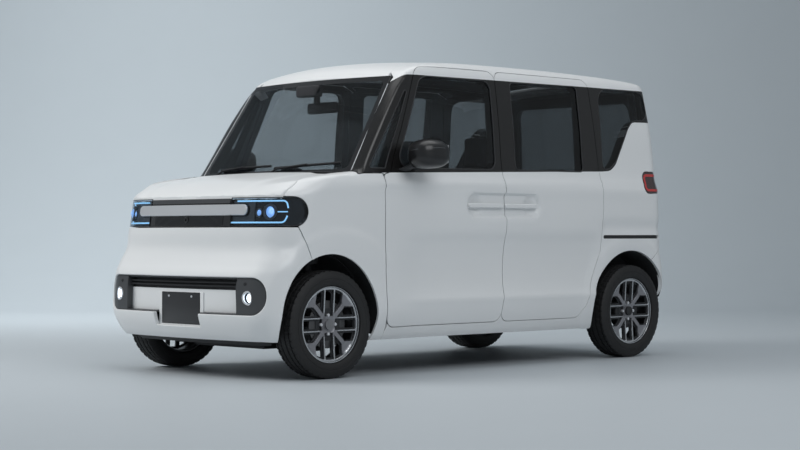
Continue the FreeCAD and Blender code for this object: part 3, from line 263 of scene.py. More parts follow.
PEARL = Finish("pearl_white", (0.85, 0.86, 0.86), (0.79, 0.80, 0.81), 0.32, 0.03, 0.0, 0.5, 900.0, 0.01)
GLOSS_BLACK = Finish("gloss_black", (0.014, 0.014, 0.015), (0.008, 0.008, 0.009), 0.12, 0.04, 0.0, 0.6, 300.0, 0.01)
MIRROR_BLACK = Finish("mirror_black", (0.012, 0.012, 0.013), (0.007, 0.007, 0.008), 0.30, 0.05, 0.0, 0.25, 300.0, 0.02)
PILLAR_BLACK = Finish(
    "pillar_black", (0.013, 0.012, 0.012), (0.008, 0.0075, 0.0075),
    0.24, 0.05, 0.0, 0.25, 200.0, 0.01,
)
MATT_BLACK = Finish("grained_black", (0.030, 0.031, 0.033), (0.018, 0.018, 0.020), 0.62, 0.12, 0.0, 0.0, 420.0, 0.35)
MESH_BLACK = Finish(
    "mesh_black", (0.020, 0.020, 0.022), (0.006, 0.006, 0.007),
    0.5, 0.1, 0.0, 0.0, 200.0, 0.9, weave=60.0,
)
TRIM_GREY = Finish("trim_grey", (0.085, 0.088, 0.093), (0.060, 0.062, 0.066), 0.38, 0.08, 0.2, 0.0, 260.0, 0.12)
SATIN_SILVER = Finish("satin_silver", (0.80, 0.81, 0.83), (0.72, 0.73, 0.76), 0.34, 0.06, 0.55, 0.3, 500.0, 0.02)
RIM_DARK = Finish("rim_dark", (0.030, 0.031, 0.034), (0.018, 0.019, 0.021), 0.38, 0.08, 0.4, 0.3, 500.0, 0.05)
RIM_GREY = Finish("rim_grey", (0.300, 0.300, 0.320), (0.240, 0.240, 0.258), 0.36, 0.06, 0.55, 0.4, 700.0, 0.03)
RIM_BRIGHT = Finish("machined_rim", (0.66, 0.67, 0.69), (0.55, 0.56, 0.58), 0.22, 0.05, 0.95, 0.3, 800.0, 0.05)
RUBBER = Finish("tyre_rubber", (0.015, 0.015, 0.016), (0.009, 0.009, 0.0095), 0.66, 0.15, 0.0, 0.0, 240.0, 0.30)
BRAKE_IRON = Finish("brake_iron", (0.15, 0.15, 0.155), (0.085, 0.085, 0.085), 0.40, 0.15, 0.9, 0.0, 300.0, 0.15)
DARK_STEEL = Finish("dark_steel", (0.060, 0.061, 0.064), (0.030, 0.030, 0.032), 0.55, 0.2, 0.6, 0.0, 90.0, 0.20)
PRESSED_STEEL = Finish("pressed_steel", (0.11, 0.112, 0.118), (0.07, 0.072, 0.077), 0.5, 0.2, 0.4, 0.0, 60.0, 0.15)
CAST_METAL = Finish("cast_metal", (0.33, 0.33, 0.34), (0.22, 0.22, 0.23), 0.52, 0.2, 0.8, 0.0, 120.0, 0.35)
EXHAUST = Finish("exhaust_steel", (0.42, 0.40, 0.37), (0.27, 0.25, 0.23), 0.38, 0.2, 0.9, 0.0, 70.0, 0.15)
LINER = Finish("arch_liner", (0.024, 0.024, 0.026), (0.012, 0.012, 0.013), 0.8, 0.1, 0.0, 0.0, 300.0, 0.4)
CABIN_TRIM = Finish("cabin_trim", (0.050, 0.050, 0.054), (0.030, 0.030, 0.033), 0.66, 0.12, 0.0, 0.0, 350.0, 0.3)
HEADLINER = Finish("headliner", (0.20, 0.20, 0.205), (0.15, 0.15, 0.155), 0.85, 0.05, 0.0, 0.0, 600.0, 0.3)
SEAT_CLOTH = Finish(
    "seat_cloth", (0.105, 0.108, 0.118), (0.062, 0.064, 0.072),
    0.88, 0.06, 0.0, 0.0, 500.0, 0.7, weave=240.0,
)
DASH = Finish("dash_plastic", (0.060, 0.061, 0.066), (0.038, 0.039, 0.043), 0.58, 0.1, 0.0, 0.0, 420.0, 0.3)
GRIP = Finish("grip_leather", (0.040, 0.039, 0.040), (0.024, 0.023, 0.024), 0.48, 0.1, 0.0, 0.0, 700.0, 0.5)
PLATE = Finish("plate_face", (0.030, 0.031, 0.033), (0.020, 0.020, 0.022), 0.34, 0.05, 0.0, 0.3, 400.0, 0.05)
CLEAR = Finish("clear_glass", (0.72, 0.74, 0.75), (0.70, 0.72, 0.73), 0.02, 0.0, 0.0, 0.0, 3.0, 0.0, mix=Mix.GLASS)
TINT = Finish("tinted_glass", (0.50, 0.52, 0.53), (0.48, 0.50, 0.51), 0.02, 0.0, 0.0, 0.0, 3.0, 0.0, mix=Mix.GLASS)
LAMP_COVER = Finish("lamp_cover", (0.86, 0.90, 0.94), (0.84, 0.88, 0.92), 0.02, 0.0, 0.0, 0.0, 3.0, 0.0, mix=Mix.GLASS)
ICE_LIGHT = Finish("ice_light", (0.40, 0.72, 0.96), (0.26, 0.56, 0.88), 0.2, 0.0, glow=0.8, mix=Mix.LIGHT)
WHITE_LIGHT = Finish("white_light", (0.85, 0.93, 1.0), (0.70, 0.84, 1.0), 0.15, 0.0, glow=2.6, mix=Mix.LIGHT)
BLUE_LENS = Finish(
    "blue_lens", (0.42, 0.70, 1.0), (0.04, 0.16, 0.60),
    0.06, 0.02, 0.0, 1.0, 90.0, 0.02, glow=0.9, mix=Mix.LIGHT,
)
RED_LENS = Finish("red_lens", (0.62, 0.035, 0.030), (0.42, 0.015, 0.015), 0.12, 0.03, 0.0, 1.0, 160.0, 0.05)
SMOKED = Finish("smoked_lens", (0.050, 0.020, 0.020), (0.030, 0.012, 0.012), 0.08, 0.02, 0.0, 1.0, 160.0, 0.02)
MIRROR_GLASS = Finish("mirror_glass", (0.80, 0.82, 0.84), (0.74, 0.76, 0.78), 0.04, 0.02, 1.0, 0.0, 20.0, 0.0)
FLOOR = Finish("studio_floor", (0.50, 0.54, 0.57), (0.48, 0.52, 0.55), 0.55, 0.04, 0.0, 0.0, 3.0, 0.0)


# ---------------------------------------------------------------- small maths
def smooth(value: np.ndarray | float, low: float, high: float) -> np.ndarray:
    """Smooth share from 0 at low to 1 at high."""
    share = np.clip((value - low) / (high - low), 0.0, 1.0)
    return share * share * (3.0 - 2.0 * share)


def monotone(xs: Sequence[float], ys: Sequence[float]) -> Callable[[np.ndarray], np.ndarray]:
    """Smooth curve through points that never overshoots them.

    Args:
        xs: Rising places.
        ys: Values there.

    Returns:
        A function of the place.
    """
    xs, ys = np.asarray(xs, float), np.asarray(ys, float)
    run = np.diff(xs)
    rate = np.diff(ys) / run
    slope = np.zeros_like(ys)
    slope[0], slope[-1] = rate[0], rate[-1]
    before, after = 2 * run[1:] + run[:-1], run[1:] + 2 * run[:-1]
    for i in range(1, len(xs) - 1):
        if rate[i - 1] * rate[i] > 0:
            slope[i] = (before[i - 1] + after[i - 1]) / (before[i - 1] / rate[i - 1] + after[i - 1] / rate[i])

    def at(x: np.ndarray) -> np.ndarray:
        """Value of the curve.

        Args:
            x: Places.

        Returns:
            Values there.
        """
        x = np.clip(x, xs[0], xs[-1])
        i = np.clip(np.searchsorted(xs, x) - 1, 0, len(run) - 1)
        t = (x - xs[i]) / run[i]
        low = (2 * t**3 - 3 * t**2 + 1) * ys[i] + (t**3 - 2 * t**2 + t) * run[i] * slope[i]
        return low + (-2 * t**3 + 3 * t**2) * ys[i + 1] + (t**3 - t**2) * run[i] * slope[i + 1]

    return at


def rounded(points: Sequence[Sequence[float]], radius: float, closed: bool = True) -> Loop:
    """Line through points with arcs at its corners.

    Args:
        points: Corner points.
        radius: Largest corner radius.
        closed: Whether the last point joins the first.

    Returns:
        Points along the line.
    """
    pts = np.asarray(points, float)
    count = len(pts)
    out: list[np.ndarray] = []
    for i in range(count):
        here = pts[i]
        if not closed and i in (0, count - 1):
            out.append(here)
            continue
        to_before, to_after = pts[i - 1] - here, pts[(i + 1) % count] - here
        long_before, long_after = np.linalg.norm(to_before), np.linalg.norm(to_after)
        before, after = to_before / long_before, to_after / long_after
        angle = math.acos(float(np.clip(before @ after, -1, 1)))
        half = math.pi / 2 - angle / 2
        if radius <= 0 or half < 0.01:
            out.append(here)
            continue
        reach = min(radius * math.tan(half), 0.48 * min(long_before, long_after))
        real = reach / math.tan(half)
        bisect = before + after
        centre = here + bisect / np.linalg.norm(bisect) * (real / math.cos(half))
        start, end = here + before * reach - centre, here + after * reach - centre
        steps = max(2, int(2 * half / 0.2))
        turn = math.atan2(start[0] * end[1] - start[1] * end[0], start @ end)
        for k in range(steps + 1):
            cos, sin = math.cos(turn * k / steps), math.sin(turn * k / steps)
            out.append(centre + (start[0] * cos - start[1] * sin, start[0] * sin + start[1] * cos))
    return np.array(out)


def dense(loop: Loop, step: float, closed: bool = True) -> Loop:
    """The same line with points at most a step apart.

    Args:
        loop: The line.
        step: Largest distance.
        closed: Whether its last point joins the first.

    Returns:
        Its points.
    """
    ends = np.vstack([loop, loop[:1]]) if closed else loop
    out = []
    for a, b in zip(ends, ends[1:]):
        count = max(1, int(math.ceil(np.linalg.norm(b - a) / step)))
        out += [a + (b - a) * k / count for k in range(count)]
    if not closed:
        out.append(ends[-1])
    return np.array(out)


def grown(loop: Loop, by: float) -> Loop:
    """A closed line moved out by a distance, or in by a negative one.

    Args:
        loop: The line.
        by: The distance.

    Returns:
        The moved line.
    """
    step_on, step_back = np.roll(loop, -1, 0) - loop, loop - np.roll(loop, 1, 0)
    keep = np.linalg.norm(step_on, axis=1) > 1e-9
    loop, step_on, step_back = loop[keep], step_on[keep], step_back[keep]
    on = step_on / np.linalg.norm(step_on, axis=1)[:, None]
    back = np.roll(on, 1, 0)
    area = np.sum(loop[:, 0] * np.roll(loop[:, 1], -1) - np.roll(loop[:, 0], -1) * loop[:, 1])
    way = 1.0 if area > 0 else -1.0
    first = np.stack([on[:, 1], -on[:, 0]], 1) * way
    second = np.stack([back[:, 1], -back[:, 0]], 1) * way
    middle = first + second
    middle /= np.maximum(np.linalg.norm(middle, axis=1), 1e-6)[:, None]
    stretch = 1.0 / np.clip(np.sum(middle * first, axis=1), 0.5, 1.0)
    return loop + middle * (by * stretch)[:, None]


def inside(points: np.ndarray, loop: Loop) -> np.ndarray:
    """Which points lie inside a closed line.

    Args:
        points: Flat points.
        loop: The line.

    Returns:
        One truth value for each point.
    """
    x, y = points[:, 0], points[:, 1]
    hit = np.zeros(len(points), bool)
    for a, b in zip(loop, np.roll(loop, -1, 0)):
        cross = (a[1] > y) != (b[1] > y)
        if cross.any():
            at = a[0] + (y - a[1]) * (b[0] - a[0]) / (b[1] - a[1] + 1e-15)
            hit ^= cross & (x < at)
    return hit


def clear_of(points: np.ndarray, loop: Loop, room: float) -> np.ndarray:
    """Which points keep their distance from a closed line.

    Args:
        points: Flat points.
        loop: The line.
        room: The distance.

    Returns:
        One truth value for each point.
    """
    ok = np.ones(len(points), bool)
    for a, b in zip(loop, np.roll(loop, -1, 0)):
        low, high = np.minimum(a, b) - room, np.maximum(a, b) + room
        near = ok & np.all((points > low) & (points < high), axis=1)
        if not near.any():
            continue
        way = b - a
        share = np.clip(((points[near] - a) @ way) / max(way @ way, 1e-12), 0, 1)
        gap = np.linalg.norm(points[near] - (a + share[:, None] * way), axis=1)
        ok[np.nonzero(near)[0][gap < room]] = False
    return ok


# ---------------------------------------------------------------- body surface
SECTION_SHARES = np.array([
    (0.084, 0.870, 0.925, 0.945, 0.75, 0.85),
    (0.126, 0.945, 0.975, 0.975, 0.75, 0.85),
    (0.205, 0.993, 1.001, 0.996, 0.75, 0.72),
    (0.262, 0.987, 1.001, 1.001, 0.75, 0.72),
    (0.310, 0.983, 0.992, 1.001, 0.71, 0.80),
    (0.340, 0.984, 0.974, 0.999, 0.69, 0.90),
    (0.380, 0.986, 0.965, 0.998, 0.80, 0.97),
    (0.450, 0.990, 0.958, 0.996, 1.00, 1.00),
    (0.520, 0.996, 0.950, 0.990, 1.08, 1.00),
    (0.548, 0.999, 0.944, 0.987, 1.10, 1.00),
    (0.565, 1.002, 0.925, 0.986, 1.15, 1.00),
    (0.580, 1.002, 0.900, 0.986, 1.20, 1.00),
    (0.620, 0.967, 0.880, 0.987, 1.25, 1.00),
    (0.650, 0.952, 0.880, 0.987, 1.25, 1.00),
    (0.780, 0.925, 0.880, 0.979, 1.25, 1.00),
    (0.900, 0.890, 0.880, 0.962, 1.25, 1.02),
    (0.948, 0.872, 0.880, 0.955, 1.25, 1.02),
    (0.972, 0.838, 0.880, 0.950, 1.25, 1.02),
    (0.990, 0.780, 0.880, 0.944, 1.25, 1.02),
    (1.012, 0.690, 0.880, 0.938, 1.25, 1.02),
])
CABIN_SHARES = np.array([
    (1.120, -0.023), (0.838, 0.335), (0.639, 0.614), (0.418, 0.925), (0.375, 0.960), (0.310, 0.979),
    (0.200, 0.991), (0.000, 1.000), (-0.280, 1.001), (-0.560, 0.998), (-0.780, 0.991), (-0.890, 0.982),
    (-0.935, 0.966), (-0.970, 0.940), (-1.050, 0.860), (-1.120, 0.780),
])
BONNET_SHARES = np.array([
    (1.120, 0.464), (1.030, 0.503), (0.975, 0.533), (0.940, 0.552), (0.905, 0.572), (0.850, 0.592),
    (0.760, 0.610), (0.670, 0.622), (0.540, 0.632), (0.300, 0.640),
])
FRONT_ARCH = (1.210, 0.325)
REAR_ARCH = (-1.305, 0.308)


@dataclass
class Skin:
    """Outer surface of the body over girth, from the nose round the left side to the tail, and rise."""

    crown_radius: float = 8.0
    screen_radius: float = 2.6
    roof_radius: float = 5.3
    bonnet_radius: float = 14.7
    nose_corner: float = 0.240
    tail_corner: float = 0.118
    gate_edge: float = 0.5530
    ends: tuple[float, ...] = (0.50, 0.88, 3.80, 3.98, 4.60)
    row: float = 0.008
    fine: float = 0.004
    peak: float = 1.806
    blur: int = 14
    low: float = 0.150
    high: float = 2.130
    points: np.ndarray = field(default_factory=lambda: np.zeros(0))
    normals: np.ndarray = field(default_factory=lambda: np.zeros(0))

    def build(self) -> None:
        """Fill the table of points and normals."""
        z = SECTION_SHARES[:, 0] * TALL
        self.half = monotone(z, SECTION_SHARES[:, 1] * HALF_WIDE)
        self.nose = monotone(z, SECTION_SHARES[:, 2] * HALF_LONG)
        self.tail = monotone(z, SECTION_SHARES[:, 3] * HALF_LONG)
        self.nose_r = monotone(z, SECTION_SHARES[:, 4] * self.nose_corner)
        self.tail_r = monotone(z, SECTION_SHARES[:, 5] * self.tail_corner)
        self._tops()
        e = (0.0,) + self.ends
        counts = (34, 26, 220, 18, 42)
        parts = [np.linspace(a, b, n, endpoint=False) for a, b, n in zip(e, e[1:], counts)]
        self.girths = np.concatenate(parts + [np.array([self.ends[-1]])])
        self.rises = np.arange(self.low, self.high, self.row)
        self.folds = np.zeros(len(self.girths))
        base = np.zeros((len(self.girths), len(self.rises), 3))
        for i, girth in enumerate(self.girths):
            base[i], self.folds[i] = self._column(float(girth))
        self.normals = self._normals(base)
        self.points = base - self.normals * self._relief(base)[:, :, None]

    def plan(self, girth: float, z: np.ndarray) -> tuple[np.ndarray, np.ndarray, np.ndarray, np.ndarray]:
        """Point and inward way of the level outline.

        Args:
            girth: Distance round the car.
            z: Heights.

        Returns:
            x, y and the two parts of the inward way.
        """
        e1, e2, e3, e4, e5 = self.ends
        half = self.half(z)
        crown = half**2 / (2 * self.crown_radius)

        def end(reach: np.ndarray, radius: np.ndarray) -> tuple[np.ndarray, ...]:
            """Crown rate, corner start, its angle and centre at one end.

            Args:
                reach: Furthest place at the middle.
                radius: Corner radius.

            Returns:
                The four values.
            """
            rate = crown / (half - radius) ** 2
            start = half - radius
            for _ in range(3):
                angle = np.arctan(2 * rate * start)
                start = half - radius + radius * np.sin(angle)
            return rate, start, angle, reach - rate * start**2 - radius * np.cos(angle)

        nose_r, tail_r = self.nose_r(z), self.tail_r(z)
        rate_f, start_f, angle_f, centre_f = end(self.nose(z), nose_r)
        rate_r, start_r, angle_r, centre_r = end(self.tail(z), tail_r)
        if girth < e1:
            y = start_f * girth / e1
            lean = np.arctan(2 * rate_f * y)
            return self.nose(z) - rate_f * y**2, y, -np.cos(lean), -np.sin(lean)
        if girth < e2:
            a = angle_f + (math.pi / 2 - angle_f) * (girth - e1) / (e2 - e1)
            return centre_f + nose_r * np.cos(a), half - nose_r + nose_r * np.sin(a), -np.cos(a), -np.sin(a)
        if girth <= e3:
            share = (girth - e2) / (e3 - e2)
            flat = np.zeros_like(half)
            return centre_f + (-centre_r - centre_f) * share, half, flat, flat - 1.0
        if girth < e4:
            a = angle_r + (math.pi / 2 - angle_r) * (e4 - girth) / (e4 - e3)
            return -centre_r - tail_r * np.cos(a), half - tail_r + tail_r * np.sin(a), np.cos(a), -np.sin(a)
        y = start_r * (e5 - girth) / (e5 - e4)
        lean = np.arctan(2 * rate_r * y)
        return -self.tail(z) + rate_r * y**2, y, np.cos(lean), -np.sin(lean)

    def _tops(self) -> None:
        """Tables of the roof and screen, and of the bonnet, as heights over the ground."""
        self.top_x = np.linspace(-1.80, 1.86, 367)
        self.top_y = np.linspace(0.0, 0.86, 44)
        fine = np.linspace(0, 1, 600)

        def table(shares: np.ndarray, back: Callable, drop: Callable) -> np.ndarray:
            """Heights of one crowned surface.

            Args:
                shares: Its middle line, from front to rear.
                back: How far it sweeps back, by place along.
                drop: How far it drops, by place along.

            Returns:
                Heights over top_y and top_x.
            """
            place = np.arange(len(shares)) / (len(shares) - 1)
            along = np.interp(fine, place, shares[:, 0])
            x = monotone(place, shares[:, 0])(fine) * HALF_LONG
            z = monotone(place, shares[:, 1])(fine) * TALL
            rows = []
            for y in self.top_y:
                xs, zs = x - back(along) * y * y, z - drop(along) * y * y
                order = np.argsort(xs)
                rows.append(np.interp(self.top_x, xs[order], zs[order]))
            return np.array(rows)

        roof = table(
            CABIN_SHARES,
            lambda a: np.clip((a - 0.18) / 0.24, 0, 1) / (2 * self.screen_radius),
            lambda a: np.clip((0.53 - a) / 0.17, 0, 1) / (2 * self.roof_radius),
        )
        bonnet = table(BONNET_SHARES, lambda a: 0 * a, lambda a: 0 * a + 1 / (2 * self.bonnet_radius))
        levels = np.linspace(0.90, 1.16, 53)
        noses = []
        for y in self.top_y:
            reach = self.nose(levels)
            half, radius = self.half(levels), self.nose_r(levels)
            crown = half**2 / (2 * self.crown_radius)
            rate = crown / (half - radius) ** 2
            flat = reach - rate * y**2
            over = np.clip(y - (half - radius), 0, radius * 0.999)
            bend = reach - crown - radius + np.sqrt(radius**2 - over**2)
            x = np.where(y < half - radius, flat, bend)
            order = np.argsort(x)
            noses.append(np.interp(self.top_x, x[order], levels[order]))
        self.roof_table = roof
        self.bonnet_table = np.minimum(bonnet, np.where(self.top_x[None, :] > 1.2, np.array(noses), 9.0))
        self.top_table = np.maximum(roof, bonnet)

    def _look(self, table: np.ndarray, x: np.ndarray, y: np.ndarray) -> np.ndarray:
        """Value of a height table.

        Args:
            table: Heights over the places of top_y and top_x.
            x: Places along the car.
            y: Places across it.

        Returns:
            The heights there.
        """
        x, y = np.asarray(x, float), np.abs(np.asarray(y, float))
        fx = np.clip((x - self.top_x[0]) / (self.top_x[1] - self.top_x[0]), 0, len(self.top_x) - 1.001)
        fy = np.clip(y / self.top_y[1], 0, len(self.top_y) - 1.001)
        i, j = fx.astype(int), fy.astype(int)
        u, v = fx - i, fy - j
        low = table[j, i] * (1 - u) + table[j, i + 1] * u
        high = table[j + 1, i] * (1 - u) + table[j + 1, i + 1] * u
        return low * (1 - v) + high * v

    def roof_at(self, x: np.ndarray, y: np.ndarray) -> np.ndarray:
        """Height of the roof and screen."""
        return self._look(self.roof_table, x, y)

    def bonnet_at(self, x: np.ndarray, y: np.ndarray) -> np.ndarray:
        """Height of the bonnet, with its soft raised middle."""
        x, y = np.asarray(x, float), np.abs(np.asarray(y, float))
        edge = 0.50 - 0.10 * (x - 1.13) / 0.45
        swell = 0.006 * (1 - smooth(y, edge - 0.03, edge + 0.03)) * smooth(1.60 - x, 0.02, 0.16)
        return self._look(self.bonnet_table, x, y) - 0.006 + swell

    def _column(self, girth: float) -> tuple[np.ndarray, float]:
        """One column of the table, up the side and on over the top.

        Args:
            girth: Distance round the car.

        Returns:
            Its points and the rise at which it folds over.
        """
        z = np.arange(self.low, self.peak, self.fine)
        x, y, nx, ny = self.plan(girth, z)
        gap = z - self._look(self.top_table, x, y)
        over = np.nonzero(gap > 0)[0]
        k = int(over[0]) if len(over) else len(z) - 1
        share = gap[k - 1] / (gap[k - 1] - gap[k]) if gap[k] > 0 else 0.0
        fold = z[k - 1] + share * self.fine
        start = [np.interp(fold, z, part) for part in (x, y, nx, ny)]
        if girth > self.ends[2] and start[1] < self.gate_edge:
            start[2], start[3] = 1.0, 0.0
        run = np.arange(0.0, 0.60, self.fine)
        px, py = start[0] + start[2] * run, start[1] + start[3] * run
        pz = self._look(self.top_table, px, py)
        far = np.cumsum(np.sqrt(np.diff(px) ** 2 + np.diff(py) ** 2 + np.diff(pz) ** 2))
        rise = np.concatenate([z[:k], [fold], fold + far])
        path = np.stack([np.concatenate([below[:k], above]) for below, above in ((x, px), (y, py), (z, pz))], 1)
        even = np.arange(self.low, self.high + 0.1, self.fine)
        line = np.stack([np.interp(even, rise, path[:, c]) for c in range(3)], 1)
        kernel = np.exp(-0.5 * (np.arange(-self.blur, self.blur + 1) / 5.0) ** 2)
        kernel /= kernel.sum()
        padded = np.pad(line, ((self.blur, self.blur), (0, 0)), mode="edge")
        soft = np.stack([np.convolve(padded[:, c], kernel, mode="valid") for c in range(3)], 1)
        weight = (1 - smooth(np.abs(even - fold), 0.045, 0.085))[:, None]
        line = line * (1 - weight) + soft * weight
        return np.stack([np.interp(self.rises, even, line[:, c]) for c in range(3)], 1), float(fold)

    @staticmethod
    def _normals(points: np.ndarray) -> np.ndarray:
        """Outward normals of a table of points.

        Args:
            points: The table.

        Returns:
            A unit way for each point.
        """
        along = np.gradient(points, axis=0)
        up = np.gradient(points, axis=1)
        normal = np.cross(along, up)
        size = np.linalg.norm(normal, axis=2, keepdims=True)
        return normal / np.maximum(size, 1e-12)

    def _relief(self, base: np.ndarray) -> np.ndarray:
        """How far each point of the table is set in by the body's creases and dishes.

        Args:
            base: Points of the plain form.

        Returns:
            Depths, negative where the form swells.
        """
        x, y, z = base[:, :, 0], np.abs(base[:, :, 1]), base[:, :, 2]
        flank = smooth(y, 0.60, 0.68) * (self.rises[None, :] < self.folds[:, None] - 0.05)
        waist = monotone(
            (0.15, 0.26, 0.34, 0.384, 0.396, 0.44, 0.50, 0.62, 0.72, 0.775, 0.80, 1.9),
            (0.0, 0.005, 0.007, 0.004, 0.001, 0.009, 0.0145, 0.0165, 0.011, 0.002, 0.0, 0.0),
        )
        span = smooth(x, -1.08, -0.90) * (1 - smooth(x, 0.50, 0.77))
        depth = 1.35 * waist(z) * span
        crease = 1.035 + (0.80 - x) / 1.8 * 0.040
        step = (1 - smooth(z, crease - 0.008, crease + 0.002)) * smooth(z, 0.84, 1.02)
        depth = depth + 0.0050 * step * smooth(x, -1.62, -1.5) * (1 - smooth(x, 0.78, 0.98))
        reach = np.clip(x, -0.445 + 0.0705, 0.170 - 0.0705)
        stadium = np.hypot(x - reach, z - 0.9355) - 0.0705
        depth = depth + 0.018 * smooth(-stadium, -0.004, 0.012)
        for centre in (0.088, -0.362):
            dish = np.hypot(x - centre, z - 0.9355)
            depth = depth + 0.020 * (1 - smooth(dish, 0.006, 0.058))
        front = np.hypot((x - 1.15) * 0.97, z - 0.300)
        flare = (1 - smooth(front, 0.475, 0.515)) * smooth(front, 0.30, 0.42)
        depth = depth - 0.0065 * flare * smooth(x, 0.72, 0.90) * (z < 0.80)
        rear = np.hypot(x - REAR_ARCH[0], z - REAR_ARCH[1])
        depth = depth - 0.006 * (1 - smooth(rear, 0.43, 0.47)) * smooth(rear, 0.34, 0.39)
        tail = smooth(-x, 1.00, 1.07) * (1 - smooth(-x, 1.60, 1.66))
        depth = depth + 0.010 * np.exp(-(((z - 0.815) / 0.034) ** 2)) * tail
        nose = smooth(x, 1.40, 1.50) * (z < 0.80)
        front_dish = 0.011 * np.exp(-(((z - 0.700) / 0.052) ** 2)) - 0.004 * np.exp(-(((z - 0.598) / 0.034) ** 2))
        return depth * flank + front_dish * nose

    def at(self, flat: np.ndarray, depth: np.ndarray | float = 0.0) -> np.ndarray:
        """Points of the surface, on either side of the car.

        Args:
            flat: Girth and rise of each point; a negative girth, or one past the tail, is on the right.
            depth: How far inside the surface each point lies.

        Returns:
            Points in space.
        """
        girth, rise = flat[:, 0].copy(), flat[:, 1]
        other = (girth < 0) | (girth > self.ends[-1])
        girth = np.abs(girth)
        girth = np.where(girth > self.ends[-1], 2 * self.ends[-1] - girth, girth)
        i = np.clip(np.searchsorted(self.girths, girth) - 1, 0, len(self.girths) - 2)
        u = ((girth - self.girths[i]) / (self.girths[i + 1] - self.girths[i]))[:, None]
        r = np.clip((rise - self.low) / self.row, 0, len(self.rises) - 1.001)
        j = r.astype(int)
        v = (r - j)[:, None]

        def mix(table: np.ndarray) -> np.ndarray:
            """Value between four table entries."""
            low = table[i, j] * (1 - u) + table[i + 1, j] * u
            return low * (1 - v) + (table[i, j + 1] * (1 - u) + table[i + 1, j + 1] * u) * v

        normal = mix(self.normals)
        normal /= np.maximum(np.linalg.norm(normal, axis=1, keepdims=True), 1e-12)
        spot = mix(self.points) - normal * np.broadcast_to(np.asarray(depth, float), (len(flat),))[:, None]
        spot[other, 1] *= -1
        return spot

    def _row(self, rise: float, part: int) -> np.ndarray:
        """One coordinate of all columns at a rise."""
        r = min(max((rise - self.low) / self.row, 0), len(self.rises) - 1.001)
        j = int(r)
        return self.points[:, j, part] * (1 - r + j) + self.points[:, j + 1, part] * (r - j)

    def side(self, loop: Sequence[Sequence[float]], closed: bool = False) -> Loop:
        """Girth and rise of points given along the car and up, on its left side.

        Args:
            loop: Points along and up.
            closed: Whether the last joins the first.

        Returns:
            Their girths and rises, with points close together.
        """
        out = []
        for x, z in self._even(loop, closed):
            xs = self._row(z, 0)
            out.append((float(np.interp(-x, -xs, self.girths)), z))
        return np.array(out)

    @staticmethod
    def _even(loop: Sequence[Sequence[float]], closed: bool) -> Loop:
        """A line with close points, unless it is a single point."""
        points = np.asarray(loop, float)
        return dense(points, 0.03, closed) if len(points) > 1 else points

    def nose_arc(self, loop: Loop) -> Loop:
        """Girth and rise of points given by the distance round the nose and up.

        Args:
            loop: Points round and up.

        Returns:
            Their girths and rises.
        """
        out = []
        for run, z in loop:
            xs, ys = self._row(z, 0), self._row(z, 1)
            runs = np.concatenate([[0], np.cumsum(np.hypot(np.diff(xs), np.diff(ys)))])
            out.append((math.copysign(float(np.interp(abs(run), runs, self.girths)), run), z))
        return np.array(out)

    def nose_loop(self, loop: Sequence[Sequence[float]]) -> Loop:
        """Girth and rise of points given across the nose and up.

        Args:
            loop: Points across and up.

        Returns:
            Their girths and rises.
        """
        out = []
        last = int(np.searchsorted(self.girths, self.ends[1]))
        for y, z in loop:
            ys = self._row(z, 1)[:last]
            out.append((math.copysign(float(np.interp(abs(y), ys, self.girths[:last])), y), z))
        return np.array(out)

    def tail_loop(self, loop: Sequence[Sequence[float]]) -> Loop:
        """Girth and rise of points given across the tail and up; the right is past the tail's middle.

        Args:
            loop: Points across and up.

        Returns:
            Their girths and rises, with points close together.
        """
        out = []
        first = int(np.searchsorted(self.girths, self.ends[2]))
        for y, z in self._even(loop, False):
            ys = self._row(z, 1)[first:][::-1]
            girth = float(np.interp(abs(y), ys, self.girths[first:][::-1]))
            out.append((girth if y >= 0 else 2 * self.ends[-1] - girth, z))
        return np.array(out)

    def first_rise(self, girth: float, test: Callable[[np.ndarray], np.ndarray], after: float = 0.0) -> float:
        """Lowest rise of a column, past a rise, at which a test on its points first turns positive.

        Args:
            girth: Distance round the car.
            test: Function of points.
            after: Rise to start from.

        Returns:
            The rise.
        """
        rises = np.arange(max(after, self.low), self.high - 0.01, 0.002)
        values = test(self.at(np.stack([np.full(len(rises), girth), rises], 1)))
        hits = np.nonzero(values >= 0)[0]
        return float(rises[hits[0]]) if len(hits) else float(rises[-1])


SKIN = Skin()
SKIN.build()
FINISHES = Finishes()


# ---------------------------------------------------------------- piece makers
def deselect() -> None:
    """Nothing selected, so that an operator acts on the new piece alone."""
    bpy.ops.object.select_all(action="DESELECT")


def use(obj: bpy.types.Object) -> None:
    """Select one object and make it active."""
    deselect()
    obj.select_set(True)
    bpy.context.view_layer.objects.active = obj


def sharpen(obj: bpy.types.Object, angle: float = 32.0) -> None:
    """Smooth shading below an angle in degrees."""
    use(obj)
    bpy.ops.object.shade_smooth_by_angle(angle=math.radians(angle))


def modify(obj: bpy.types.Object, kind: str, **values: object) -> None:
    """Add a modifier with values and apply it.

    Args:
        obj: The object.
        kind: Blender's type of modifier.
        values: Its values.
    """
    use(obj)
    modifier = obj.modifiers.new(kind.lower(), kind)
    for name, value in values.items():
        setattr(modifier, name, value)
    bpy.ops.object.modifier_apply(modifier=modifier.name)


def bevel(obj: bpy.types.Object, width: float, segments: int = 2) -> None:
    """Round the sharp edges of an object."""
    modify(obj, "BEVEL", width=width, segments=segments, limit_method="ANGLE")


def outward(obj: bpy.types.Object) -> bpy.types.Object:
    """Turn all faces of a closed mesh outward.

    Args:
        obj: The object.

    Returns:
        The same object.
    """
    use(obj)
    bpy.ops.object.mode_set(mode="EDIT")
    bpy.ops.mesh.select_all(action="SELECT")
    bpy.ops.mesh.normals_make_consistent(inside=False)
    bpy.ops.object.mode_set(mode="OBJECT")
    return obj


